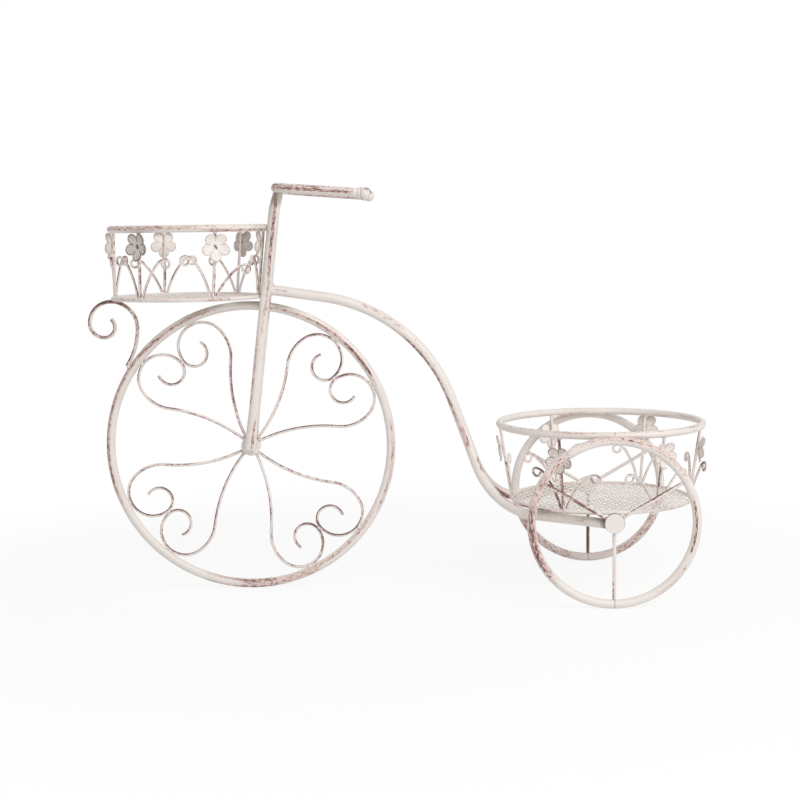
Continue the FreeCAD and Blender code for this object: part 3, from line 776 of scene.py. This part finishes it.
class ExpandedSheet:
    """A round floor of expanded sheet: strands round diamond meshes, tilted across each mesh."""

    ways = ((1, 0), (0, 1), (-1, 0), (0, -1))
    wander_scale = (90, 60)

    def __init__(self, centre, radius, sizes):
        self.centre = centre
        self.radius = radius
        self.sizes = sizes
        self.half_x = sizes.pitch_x / 2
        self.half_y = sizes.pitch_y / 2
        inset = self.half_x * self.half_y / math.hypot(self.half_x, self.half_y)
        self.opening = 1 - sizes.strand / 2 / inset
        self.build = bmesh.new()
        self.strand = self.build.verts.layers.float_vector.new("strand")
        self.lattice = {}

    def corner(self, column, line, inward=None):
        """A corner of the lattice, or of a mesh that lies inward from it."""
        key = (column, line, inward)
        if key not in self.lattice:
            x = column * self.half_x
            y = line * self.half_y
            lift = 0.0
            if inward is not None:
                x += inward[0] * self.half_x * (1 - self.opening)
                y += inward[1] * self.half_y * (1 - self.opening)
                lift = self.sizes.twist * inward[0] - 0.5 * self.sizes.twist * abs(inward[1])
            place = (x * self.wander_scale[0], y * self.wander_scale[1], self.radius)
            wander = noise.noise_vector(place) * self.sizes.wander
            x += wander.x
            y += 2 * wander.y
            lift += wander.z
            reach = math.hypot(x, y)
            if reach > self.radius:
                x *= self.radius / reach
                y *= self.radius / reach
            vertex = self.build.verts.new(
                (self.centre.x + x, self.centre.y + y, self.centre.z + lift))
            vertex[self.strand] = (0.0 if inward is None else 1.0, 0, 0)
            self.lattice[key] = vertex
        return self.lattice[key]

    def diamond(self, column, line):
        """The four strands round one mesh; those that the edge leaves no width are left out."""
        outer = [self.corner(column + a, line + b) for a, b in self.ways]
        hole = [self.corner(column + a, line + b, (-a, -b)) for a, b in self.ways]
        for index in range(4):
            following = (index + 1) % 4
            quad = [outer[index], outer[following], hole[following], hole[index]]
            places = {tuple(round(value, 6) for value in vertex.co) for vertex in quad}
            if len(places) == 4:
                self.build.faces.new(quad)

    def mesh(self, name):
        columns = int(self.radius / self.half_x) + 1
        lines = int(self.radius / self.half_y) + 1
        last = self.radius - 0.2 * self.half_y
        for column in range(-columns, columns + 1):
            for line in range(-lines, lines + 1):
                reach = math.hypot(column * self.half_x, line * self.half_y)
                if (column + line) % 2 and reach <= last:
                    self.diamond(column, line)
        loose = [vertex for vertex in self.build.verts if not vertex.link_faces]
        bmesh.ops.delete(self.build, geom=loose, context="VERTS")
        bmesh.ops.recalc_face_normals(self.build, faces=self.build.faces)
        return built_mesh(name, self.build)


# Operators, one for each group of like pieces


class PLANTSTAND_OT_wheels(bpy.types.Operator):
    """Paints the three wheel rims, hubs and spokes"""

    bl_idname = "plantstand.wheels"
    bl_label = "Wheels"

    # brushed places: from and to in degrees, clockwise from the top, then across, width and amount
    strokes = {
        "front_wheel_rim": (
            (-48, -14, 0.1, 0.5, 0.25), (-112, -44, 0.7, 0.8, 0.26), (172, 200, 0.9, 0.5, 0.22),
            (172, 200, -0.9, 0.5, 0.19), (152, 186, -0.1, 1.2, 0.21), (120, 152, -0.4, 0.5, 0.20),
            (80, 118, 0.4, 0.5, 0.20), (4, 64, -0.05, 0.5, 0.23), (44, 60, -0.2, 0.6, 0.16),
        ),
        "rear_wheel_rim_near": (
            (-134, -64, 0.0, 1.3, 0.23), (-122, -80, 0.2, 0.7, 0.12), (74, 112, -0.3, 0.4, 0.32),
            (-24, 58, 0.5, 0.8, 0.19), (-64, -32, 0.0, 1.2, 0.19), (120, 150, 0.2, 0.6, 0.13),
        ),
        "rear_wheel_rim_far": (
            (-168, -130, 0.0, 1.4, 0.18), (112, 158, 0.0, 1.4, 0.22), (-132, -116, 0.0, 1.4, 0.24),
            (158, 192, -0.6, 0.8, 0.10),
        ),
    }

    def execute(self, context):
        paint = context.scene.plant_stand.paint
        for shift, (name, strokes) in enumerate(self.strokes.items(), start=3):
            lay = partial(ring_lay, ring=ring_of(name, "Y"), axis="Y")
            # painted shadow on the top of the front wheel, under its basket
            painted_shadow = self.shaded_top if name == "front_wheel_rim" else None
            paint_node(name, worn_paint("paint_" + name, paint, lay, strokes,
                                        coverage=-0.25, shift=shift, painted_shadow=painted_shadow))
        for name in ("front_hub", "rear_hub_disc_near", "rear_hub_disc_far"):
            low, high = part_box(name)
            edge = disc_edge((low + high) / 2, (high.x - low.x) / 2)
            paint_node(name, wire_paint("paint_" + name, paint,
                                        coverage=-1.4, shift=5.0, more=edge))
        for (side, _), shift in zip(SIDES, (17.0, 19.0)):
            name = "rear_wheel_spokes_" + side
            more = partial(self.rubbed_spokes, side=side, hub=middle_of("rear_hub_disc_" + side))
            paint_node(name, wire_paint("paint_" + name, paint, shift=shift, more=more))
        return {"FINISHED"}

    @staticmethod
    def shaded_top(finish, lay):
        """Painted shadow on the top of the front wheel, under its basket."""
        return lay.near(-4, 22) * lay.across.step(-0.4, 0.8) * 1.3

    @staticmethod
    def rubbed_spokes(finish, side, hub):
        """The upper spokes of the near wheel and the lower one of the far wheel are rubbed most."""
        past_hub = (0.003, 0.007)
        x, _, z = finish.split(finish.where())
        if side == "far":
            return (hub.z - z).step(*past_hub) * 1.3 - 0.6
        front = (hub.x - x).step(*past_hub)
        low = (hub.z - z).step(0.006, 0.010)
        return front * 0.1 + (1 - low) * 0.22 + low * 0.2


class PLANTSTAND_OT_wire_scrolls(bpy.types.Operator):
    """Paints the wheel scrolls and the bracket"""

    bl_idname = "plantstand.wire_scrolls"
    bl_label = "Wire scrolls"

    def execute(self, context):
        paint = context.scene.plant_stand.paint
        wire = wire_paint("paint_scrolls", paint, coverage=0.5, shift=23.0)
        for name in NODES:
            if name.startswith("front_wheel_scroll_"):
                paint_node(name, wire)
        paint_node("basket_bracket", wire_paint("paint_bracket", paint, coverage=0.66, shift=29.0))
        return {"FINISHED"}


class PLANTSTAND_OT_fork(bpy.types.Operator):
    """Paints the fork legs"""

    bl_idname = "plantstand.fork"
    bl_label = "Fork"

    # brushed places: from and to up the leg, then across, width and amount
    strokes = (
        (0.180, 0.262, 0.30, 0.50, 0.30), (0.140, 0.185, 0.45, 0.40, 0.22),
        (0.040, 0.115, -0.75, 0.5, 0.18), (-0.004, 0.028, 0.45, 0.40, 0.26),
        (0.115, 0.145, 0.2, 0.3, 0.18), (0.250, 0.266, 0.0, 1.4, 0.12),
    # the last place, at the neck under the handlebar, is brush paint deepened as painted shade
    )

    def execute(self, context):
        settings = context.scene.plant_stand
        upward, rearward = fork_axes(settings.backbone.fork_lean)
        lay = partial(straight_lay, start=middle_of("front_hub"), direction=upward,
                      side=rearward, radius=settings.backbone.tube / 2)
        # painted shade at the top of the legs, under the handlebar
        legs = worn_paint("paint_fork", settings.paint, lay, self.strokes,
                          coverage=-0.2, shift=31.0, painted_shadow=self.painted_neck_shade)
        for side, _ in SIDES:
            paint_node("fork_leg_" + side, legs)
        return {"FINISHED"}

    @staticmethod
    def painted_neck_shade(finish, lay):
        """Painted shade on the top of the legs, under the handlebar."""
        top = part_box("fork_leg_near")[1].z
        return finish.split(finish.where())[2].step(top - 0.020, top - 0.008) * 1.3


class PLANTSTAND_OT_handlebar(bpy.types.Operator):
    """Makes the handlebar tube with brush strokes along it, and paints its knobs"""

    bl_idname = "plantstand.handlebar"
    bl_label = "Handlebar"

    # brushed places: from and to along the tube from its near end, then across, width and amount
    strokes = (
        (0.004, 0.085, -0.05, 0.45, 0.28), (0.004, 0.050, 0.75, 0.8, 0.12),
        (0.040, 0.095, 0.75, 0.8, 0.18), (0.085, 0.20, 0.0, 1.5, 0.13),
        (0.20, 0.29, -0.7, 0.6, 0.17),
    )

    def execute(self, context):
        settings = context.scene.plant_stand
        bar = settings.handlebar
        low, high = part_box("handlebar")
        radius = (high.z - low.z - bar.reach * math.sin(bar.slope)) / (1 + math.cos(bar.slope))
        centre = Vector((low.x + radius, 0, high.z - radius))
        tilt = Matrix.Rotation(bar.slope, 3, "Y")
        corners = [Vector((0, hand * bar.front_width / 2, 0)) for _, hand in SIDES]
        ends = [Vector((bar.reach, hand * bar.end_width / 2, 0)) for _, hand in SIDES]
        run = rounded_run([ends[0], corners[0], corners[1], ends[1]], [bar.bend] * 2)
        path = [centre + tilt @ point for point in spread(run, TUBE_PITCH)]
        material = worn_paint("paint_handlebar", settings.paint, partial(bent_lay, radius=radius),
                              self.strokes, coverage=0.1, shift=37.0)
        new_piece(tube("handlebar_tube", path, radius), material, "handlebar")
        for side, _ in SIDES:
            name = "handlebar_knob_" + side
            paint_node(name, wire_paint("paint_" + name, settings.paint,
                                        coverage=-0.05, shift=41.0))
        return {"FINISHED"}


class PLANTSTAND_OT_backbone(bpy.types.Operator):
    """Makes the two backbone tubes with brush strokes along them"""

    bl_idname = "plantstand.backbone"
    bl_label = "Backbone"

    # brushed places: from and to along the tube from the fork, then across, width and amount
    strokes = {
        "near": (
            (0.145, 0.250, -0.75, 0.40, 0.25), (0.235, 0.292, -0.45, 0.35, 0.22),
            (0.095, 0.150, 0.5, 0.5, 0.17), (0.266, 0.290, 0.05, 0.40, 0.26),
            (0.302, 0.322, 0.65, 0.35, 0.24), (0.348, 0.378, 0.70, 0.30, 0.25),
            (0.40, 0.46, -0.2, 0.8, 0.10), (0.008, 0.024, 0.2, 0.3, 0.16),
        ),
        "far": (
            (0.20, 0.33, -0.4, 0.8, 0.12), (0.332, 0.380, -0.05, 0.8, 0.40),
            (0.39, 0.46, 0.2, 1.2, 0.14),
        ),
    }

    def execute(self, context):
        settings = context.scene.plant_stand
        run = settings.backbone
        radius = run.tube / 2
        wheel = middle_of("rear_wheel_rim_near")
        _, ring_radius, _ = ring_of("rear_basket_base_ring", "Z")
        ring_front = wheel.x - ring_radius
        bends = [run.upper_bend, run.parting_bend, run.lower_bend]
        for side, hand in SIDES:
            # painted shadow on each tail's upper side, under the rear basket
            material = worn_paint("paint_backbone_" + side, settings.paint,
                                  partial(bent_lay, radius=radius), self.strokes[side],
                                  coverage=-0.25, shift=43.0 + hand,
                                  painted_shadow=partial(self.under_basket, ring_front=ring_front))
            points = self.corners(run, wheel, ring_front, hand)
            onward = (points[-1] - points[-2]).normalized()
            points[-1] += onward * 2 * radius
            path = spread(rounded_run(points, bends, steps=40), TUBE_PITCH)
            mesh = tube("backbone_" + side, path, radius)
            self.trim(mesh, onward)
            new_piece(mesh, material, "backbone_tube_" + side)
        return {"FINISHED"}

    @staticmethod
    def corners(run, wheel, ring_front, hand):
        """Corners of one tube, from the fork to its tail."""
        axle = middle_of("front_hub")
        start = Vector((axle.x + (run.height - axle.z) * math.tan(run.fork_lean), 0, run.height))
        tail_z = wheel.z - run.tail_drop
        lower_x = ring_front - run.setback
        gentle = math.tan(run.start_slope)
        steep = math.tan(run.fall_slope)
        upper_x = (tail_z + steep * lower_x - start.z - gentle * start.x) / (steep - gentle)
        upper = Vector((upper_x, 0, start.z - gentle * (upper_x - start.x)))
        parting = Vector((lower_x - run.parting_height / steep, 0, tail_z + run.parting_height))
        beside = Vector((0, hand * (run.tube / 2 + WELD_GAP / 2), 0))
        lower = Vector((lower_x, hand * run.spread, tail_z))
        tail = Vector((wheel.x - run.tail_setback, -hand * wheel.y, tail_z))
        return [start + beside, upper + beside, parting + beside, lower, tail]

    @staticmethod
    def trim(mesh, onward):
        """Cuts the tail off flat, where its solid ends beside the wheel."""
        last = abs(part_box("backbone_tube_near")[0].y)
        for vertex in mesh.vertices:
            past = abs(vertex.co.y) - last
            if past > 0:
                vertex.co -= onward * (past / abs(onward.y))

    @staticmethod
    def under_basket(finish, lay, ring_front):
        """Painted shadow on the upper side of the tail, under the rear basket."""
        past = finish.split(finish.where())[0].step(ring_front, ring_front + 0.025)
        return past * lay.across.step(-0.7, 0.4)


class PLANTSTAND_OT_baskets(bpy.types.Operator):
    """Paints the rims, base rings, stems and tendrils of both baskets"""

    bl_idname = "plantstand.baskets"
    bl_label = "Baskets"

    # seam of each ring, and brushed places: from and to in degrees, clockwise from the far side,
    # then up the tube's side, width and amount
    seams = {
        "front_basket_rim": math.radians(24.5), "front_basket_base_ring": math.radians(160),
        "rear_basket_rim": math.radians(0.6), "rear_basket_base_ring": math.radians(150),
    }
    strokes = {
        "front_basket_rim": (
            (-200, -86, 0.25, 0.8, 0.225), (98, 160, -0.5, 0.5, 0.24), (100, 160, 0.3, 0.8, 0.08),
            (-60, 60, 0.2, 0.8, 0.12),
        ),
        "front_basket_base_ring": (
            (136, 158, 0.0, 1.2, 0.18), (-178, -110, 0.2, 1.0, 0.12), (158, 180, 0.4, 0.6, 0.12),
        ),
        "rear_basket_rim": (
            (-166, -148, 0.5, 0.5, 0.13), (105, 250, 0.80, 0.35, 0.12), (60, 110, 0.4, 0.6, 0.10),
            (-100, -80, 0.0, 1.0, 0.10), (-60, 60, -0.7, 0.5, 0.10),
        ),
        "rear_basket_base_ring": (
            (-142, -112, -0.35, 0.9, 0.32), (100, 150, 0.0, 1.2, 0.15), (-80, 60, 0.2, 1.0, 0.14),
        ),
    }
    wire_coverage = {"front_basket": 0.16, "rear_basket": 0.04}

    def execute(self, context):
        paint = context.scene.plant_stand.paint
        for shift, (name, strokes) in enumerate(self.strokes.items(), start=47):
            lay = partial(ring_lay, ring=ring_of(name, "Z"), axis="Z", seam=self.seams[name])
            paint_node(name, worn_paint("paint_" + name, paint, lay, strokes,
                                        coverage=-0.25, shift=shift))
        for shift, (basket, coverage) in enumerate(self.wire_coverage.items(), start=53):
            wires = wire_paint("paint_%s_wires" % basket, paint, coverage, shift, self.near_side)
            paint_node(basket + "_stems", wires)
            for name in NODES:
                if name.startswith(basket + "_tendrils_"):
                    paint_node(name, wires)
        return {"FINISHED"}

    @staticmethod
    def near_side(finish):
        """The wires of the near side are rubbed the most, those ahead of one flower still more."""
        ahead_x = middle_of(OUTLINED_FLOWER).x - 0.018
        x, y, _ = finish.split(finish.where())
        near = y.step(0.02, -0.03)
        ahead = abs(x - ahead_x).step(0.032, 0.022)
        return near * (ahead * 0.3 + 0.22)


class PLANTSTAND_OT_floors(bpy.types.Operator):
    """Makes the expanded sheet floors of both baskets"""

    bl_idname = "plantstand.floors"
    bl_label = "Mesh floors"

    seed = 1  # of the strands' wander

    def execute(self, context):
        settings = context.scene.plant_stand
        noise.seed_set(self.seed)
        material = floor_paint("paint_floor", settings.paint)
        for basket in BASKETS:
            node = basket + "_floor"
            low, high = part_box(node)
            sheet = ExpandedSheet((low + high) / 2, (high.x - low.x) / 2, settings.floor)
            piece = new_piece(sheet.mesh(basket + "_sheet"), material, node)
            solid = piece.modifiers.new("sheet", "SOLIDIFY")
            solid.thickness = settings.floor.thickness
            solid.offset = 0
        return {"FINISHED"}


class PLANTSTAND_OT_flowers(bpy.types.Operator):
    """Makes the stamped flowers with rims, veins and a slit in the middle"""

    bl_idname = "plantstand.flowers"
    bl_label = "Flowers"

    petals = 5
    around = 150
    rings = 16
    # how far a flower is rubbed, and how dark its outlines are
    paints = {
        "cream": (0.0, 0.2), "outlined": (0.0, 0.8), "rubbed": (0.44, 1.0), "dull": (0.6, 0.1),
    }
    special = {OUTLINED_FLOWER: "outlined", RUBBED_FLOWER: "rubbed", DULL_FLOWER: "dull"}
    # place and width of the raised rim and of the veins, as shares of a petal's length
    rim_band = (0.93, 0.055)
    vein_band = (0.68, 0.26)
    vein_turns = 20
    edge_share = 0.05
    crease_depth = 0.0004
    slit_lean = math.radians(32)
    slit_width = 0.0008
    slit_length = 0.0030
    slit_depth = 0.0005

    def execute(self, context):
        settings = context.scene.plant_stand
        finishes = {kind: petal_paint("paint_flower_" + kind, settings.paint, *amounts)
                    for kind, amounts in self.paints.items()}
        for name in sorted(NODES):
            if "_flower_" in name:
                kind = self.special.get(name, "cream")
                self.flower(name, settings.flower, finishes[kind])
        return {"FINISHED"}

    def stance(self, name):
        """Points of a flower's solid, the way it faces, its side and its up."""
        points = np.array([vertex.co for vertex in NODES[name].data.vertices])
        spokes = points - points.mean(0)
        _, _, axes = np.linalg.svd(spokes, full_matrices=False)
        depth = spokes @ axes[2]
        out = np.linalg.norm(spokes - np.outer(depth, axes[2]), axis=1)
        facing = Vector(axes[2])
        # the petals curve towards the way that the flower faces
        if depth[out > 0.8 * out.max()].mean() < depth[out < 0.4 * out.max()].mean():
            facing = -facing
        up = Vector((0, 0, 1))
        up = (up - facing * up.dot(facing)).normalized()
        return points, facing, up.cross(facing), up

    def flower(self, name, sizes, material):
        points, facing, side, up = self.stance(name)
        depths, widths, heights = (points @ np.array(axis) for axis in (facing, side, up))
        back = depths.min()
        middle = (widths.min() + widths.max()) / 2
        height = heights.min() + sizes.petal_reach + sizes.petal_round
        build = bmesh.new()
        petal_mark = build.verts.layers.float_vector.new("petal")
        vein_mark = build.verts.layers.float_vector.new("vein")
        made = []
        for front in (1, 0):
            for ring in range(self.rings + 1):
                for index in range(self.around):
                    angle = 2 * math.pi * index / self.around
                    x, y, z, petal, vein = self.relief(sizes, ring / self.rings, angle, front)
                    vertex = build.verts.new(
                        facing * (back + x) + side * (middle + y) + up * (height + z))
                    vertex[petal_mark] = petal
                    vertex[vein_mark] = (vein, 0, 0)
                    made.append(vertex)
        for quad in self.quads():
            build.faces.new([made[index] for index in quad])
        bmesh.ops.remove_doubles(build, verts=build.verts, dist=1e-6)
        bmesh.ops.recalc_face_normals(build, faces=build.faces)
        new_piece(built_mesh(name + "_stamping", build), material, name)

    def relief(self, sizes, share, angle, front):
        """A point of the stamping, and its marks for the paint.

        share runs from the middle to the edge, and front is 1 on the face and 0 on the back.
        """
        half_step = math.pi / self.petals
        phase = (angle + half_step) % (2 * half_step) - half_step
        outline = sizes.petal_reach * math.cos(phase) + math.sqrt(
            sizes.petal_round**2 - (sizes.petal_reach * math.sin(phase)) ** 2)
        radius = outline * share
        y = radius * math.sin(angle)
        z = -radius * math.cos(angle)
        cup = sizes.cup + sizes.sheet
        bowl = cup - math.sqrt(cup**2 - radius**2)
        crease = abs(phase) / half_step * min(1.0, radius / (0.6 * sizes.petal_reach))
        rim = swell(share, *self.rim_band)
        vein = math.cos(phase * self.vein_turns) * swell(share, *self.vein_band)
        turned = y * math.cos(self.slit_lean) + z * math.sin(self.slit_lean)
        along = z * math.cos(self.slit_lean) - y * math.sin(self.slit_lean)
        slit = swell(turned, 0, self.slit_width) * swell(along, 0, self.slit_length, power=4)
        face = (sizes.rim * rim + sizes.vein * vein
                - self.crease_depth * crease**3 - self.slit_depth * slit)
        face = max(face, -0.6 * sizes.sheet)
        edge = min(1.0, (1 - share) / self.edge_share)
        thick = sizes.sheet * (0.35 + 0.65 * math.sqrt(edge)) + face * edge
        x = bowl + thick * front + 0.15 * sizes.sheet * (1 - edge) * (1 - front)
        return x, y, z, (share, crease, slit), vein

    def quads(self):
        """Corners of the faces: the face and the back of the stamping, then its edge."""
        layer_size = (self.rings + 1) * self.around
        for layer in range(2):
            for ring in range(self.rings):
                row = layer * layer_size + ring * self.around
                for index in range(self.around):
                    a = row + index
                    b = row + (index + 1) % self.around
                    quad = (a, b, b + self.around, a + self.around)
                    yield quad if layer else tuple(reversed(quad))
        row = self.rings * self.around
        for index in range(self.around):
            a = row + index
            b = row + (index + 1) % self.around
            yield (a, b, b + layer_size, a + layer_size)


class PLANTSTAND_OT_welds(bpy.types.Operator):
    """Makes the small weld beads where the pieces of the stand meet"""

    bl_idname = "plantstand.welds"
    bl_label = "Weld beads"

    reach = 0.0014  # solids nearer than this are welded
    apart = 5  # bead radii from one bead of a pair to the next
    lump_depth = 0.28
    lump_scale = 1.7
    lump_shift = 900  # gives each bead lumps of its own
    flatness = 0.8
    # beads where a backbone tube leaves its fork leg: height on the tube, from -1 to 1, and radius
    fork_beads = (
        (-0.95, 0.0018), (-0.6, 0.0015), (-0.25, 0.0014), (0.1, 0.0015), (0.45, 0.0015),
        (0.75, 0.0018), (0.98, 0.0024),
    )

    def execute(self, context):
        settings = context.scene.plant_stand
        material = wire_paint("paint_welds", settings.paint, coverage=-0.3, shift=59.0)
        build = bmesh.new()
        for first, second, radius in self.pairs():
            for point, direction in self.contacts(first, second, radius):
                self.bead(build, point, direction, radius)
        for point, direction, radius in self.fork_chain(settings.backbone):
            self.bead(build, point, direction, radius)
        new_piece(built_mesh("weld_beads", build), material)
        return {"FINISHED"}

    def pairs(self):
        """Solids that are welded to each other, and the radius of their beads."""
        yield "basket_bracket", "front_wheel_rim", 0.0028
        yield "basket_bracket", "front_basket_base_ring", 0.0026
        for number in range(1, 9):
            scroll = "front_wheel_scroll_%d" % number
            yield scroll, "front_wheel_rim", 0.0027
            if number % 2:
                yield scroll, "front_wheel_scroll_%d" % (number + 1), 0.0020
        for side, _ in SIDES:
            yield "fork_leg_" + side, "front_basket_rim", 0.0032
            yield "fork_leg_" + side, "front_basket_base_ring", 0.0026
            yield "rear_wheel_rim_" + side, "rear_basket_rim", 0.0036
            yield "backbone_tube_" + side, "rear_basket_base_ring", 0.0028
        for basket in BASKETS:
            yield basket + "_stems", basket + "_rim", 0.0020
            yield basket + "_stems", basket + "_base_ring", 0.0022

    def fork_chain(self, run):
        """Beads down the line where each backbone tube leaves its fork leg."""
        tube_radius = run.tube / 2
        upward, rearward = fork_axes(run.fork_lean)
        axle = middle_of("front_hub")
        crossing = axle + upward * ((run.height - axle.z) / math.cos(run.fork_lean))
        edge = crossing + rearward * tube_radius
        for _, hand in SIDES:
            for share, radius in self.fork_beads:
                out = tube_radius * (1 + math.sqrt(1 - share**2))
                place = edge + upward * (share * tube_radius) + Vector((0, hand * out, 0))
                yield place, rearward, radius

    def contacts(self, first, second, radius):
        """Middles of the places where two solids of the frame nearly touch."""
        a = NODES[first].data
        b = NODES[second].data
        tree = BVHTree.FromPolygons([v.co for v in b.vertices], [p.vertices for p in b.polygons])
        found = []
        for vertex in a.vertices:
            place, normal, _, distance = tree.find_nearest(vertex.co, self.reach)
            if place is not None:
                found.append((distance, (vertex.co + place) / 2, normal))
        found.sort(key=lambda entry: entry[0])
        kept = []
        for _, place, normal in found:
            if all((place - other).length > self.apart * radius for other, _ in kept):
                kept.append((place, normal))
        return kept

    def bead(self, build, point, direction, radius):
        """One lumpy bead round a point."""
        made = bmesh.ops.create_icosphere(build, subdivisions=3, radius=1.0)["verts"]
        turn = direction.to_track_quat("Z", "Y").to_matrix()
        for vertex in made:
            where = vertex.co * self.lump_scale + point * self.lump_shift
            lump = 1 + self.lump_depth * noise.noise(where)
            shape = Vector((vertex.co.x, vertex.co.y, vertex.co.z * self.flatness))
            vertex.co = point + turn @ (shape * (radius * lump))


class PLANTSTAND_OT_stage(bpy.types.Operator):
    """Sets the camera, the soft light and the pale floor"""

    bl_idname = "plantstand.stage"
    bl_label = "Stage"

    key_size = 1.7
    key_place = Vector((0.95, -1.5, 1.65))
    key_aim = Vector((0, 0, 0.2))
    white = (1, 1, 1, 1)
    warm_white = (1.0, 0.995, 0.985, 1)
    floor_grey = (0.93, 0.93, 0.93, 1)
    floor_radius = 12.0
    floor_sides = 96
    shadow_share = 0.14  # of the floor's own light under the stand, the rest is white
    shadow_fade = (0.35, 0.75)  # from here outward the floor turns white

    def execute(self, context):
        scene = context.scene
        settings = scene.plant_stand.stage
        scene.view_settings.view_transform = "Standard"
        self.camera(scene, settings)
        self.room(scene, settings)
        self.floor(scene)
        self.key_light(scene, settings)
        return {"FINISHED"}

    def key_light(self, scene, settings):
        light = bpy.data.lights.new("soft_key", "AREA")
        light.shape = "DISK"
        light.size = self.key_size
        light.energy = settings.key
        lamp = bpy.data.objects.new("soft_key", light)
        lamp.location = self.key_place
        lamp.rotation_euler = (self.key_aim - self.key_place).to_track_quat("-Z", "Y").to_euler()
        scene.collection.objects.link(lamp)

    def camera(self, scene, settings):
        data = bpy.data.cameras.new("photo_view")
        data.sensor_fit = "HORIZONTAL"
        data.sensor_width = 36
        data.lens = settings.lens
        level_ahead = Vector((math.sin(settings.yaw), math.cos(settings.yaw), 0))
        ahead = level_ahead * math.cos(settings.pitch) - Vector((0, 0, math.sin(settings.pitch)))
        level = Vector((math.cos(settings.yaw), -math.sin(settings.yaw), 0))
        upright = level.cross(ahead)
        right = level * math.cos(settings.roll) + upright * math.sin(settings.roll)
        up = upright * math.cos(settings.roll) - level * math.sin(settings.roll)
        camera = bpy.data.objects.new("photo_view", data)
        turn = Matrix((right, up, -ahead)).transposed().to_4x4()
        camera.matrix_world = Matrix.Translation(settings.camera) @ turn
        scene.collection.objects.link(camera)
        scene.camera = camera

    def room(self, scene, settings):
        scene.world = bpy.data.worlds.new("white_room")
        finish = Finish(scene.world)
        white = finish.node("ShaderNodeBackground", values={"Color": self.white, "Strength": 1.0})
        even = finish.node("ShaderNodeBackground", values={
            "Color": self.warm_white, "Strength": settings.fill})
        mix = finish.node("ShaderNodeMixShader", values={
            0: finish.seen(), 1: even.outputs[0], 2: white.outputs[0]})
        finish.node("ShaderNodeOutputWorld", values={"Surface": mix.outputs[0]})

    def floor(self, scene):
        finish = Finish.named("pale_floor")
        pale = finish.node("ShaderNodeBsdfDiffuse", values={"Color": self.floor_grey})
        white = finish.node("ShaderNodeEmission", values={"Color": self.white, "Strength": 1.0})
        x, y, _ = finish.split(finish.where())
        far = (x * x + y * y).root().step(*self.shadow_fade)
        share = finish.seen() * (far * self.shadow_share + (1 - self.shadow_share))
        mix = finish.node("ShaderNodeMixShader", values={
            0: share, 1: pale.outputs[0], 2: white.outputs[0]})
        finish.node("ShaderNodeOutputMaterial", values={"Surface": mix.outputs[0]})
        turns = [2 * math.pi * index / self.floor_sides for index in range(self.floor_sides)]
        rim = [(self.floor_radius * math.cos(turn), self.floor_radius * math.sin(turn), 0)
               for turn in turns]
        mesh = bpy.data.meshes.new("floor")
        mesh.from_pydata(rim, [], [tuple(range(self.floor_sides))])
        mesh.materials.append(finish.owner)
        floor = bpy.data.objects.new("floor", mesh)
        scene.collection.objects.link(floor)


OPERATORS = (
    PLANTSTAND_OT_wheels,
    PLANTSTAND_OT_wire_scrolls,
    PLANTSTAND_OT_fork,
    PLANTSTAND_OT_handlebar,
    PLANTSTAND_OT_backbone,
    PLANTSTAND_OT_baskets,
    PLANTSTAND_OT_floors,
    PLANTSTAND_OT_flowers,
    PLANTSTAND_OT_welds,
    PLANTSTAND_OT_stage,
)


class PLANTSTAND_PT_sidebar(bpy.types.Panel):
    """Lists the groups of pieces"""

    bl_idname = "PLANTSTAND_PT_sidebar"
    bl_label = "Plant stand"
    bl_space_type = "VIEW_3D"
    bl_region_type = "UI"
    bl_category = "Plant Stand"

    def draw(self, context):
        column = self.layout.column()
        for operator in OPERATORS:
            column.operator(operator.bl_idname)


CLASSES = (
    PaintSettings,
    BackboneSettings,
    HandlebarSettings,
    FloorSettings,
    FlowerSettings,
    StageSettings,
    PlantStandSettings,
    *OPERATORS,
    PLANTSTAND_PT_sidebar,
)


def register():
    for item in CLASSES:
        bpy.utils.register_class(item)
    bpy.types.Scene.plant_stand = bpy.props.PointerProperty(type=PlantStandSettings)


def unregister():
    del bpy.types.Scene.plant_stand
    for item in reversed(CLASSES):
        bpy.utils.unregister_class(item)


def main():
    register()
    bpy.ops.plantstand.wheels()
    bpy.ops.plantstand.wire_scrolls()
    bpy.ops.plantstand.fork()
    bpy.ops.plantstand.handlebar()
    bpy.ops.plantstand.backbone()
    bpy.ops.plantstand.baskets()
    bpy.ops.plantstand.floors()
    bpy.ops.plantstand.flowers()
    bpy.ops.plantstand.welds()
    bpy.ops.plantstand.stage()


if __name__ == "__main__":
    main()
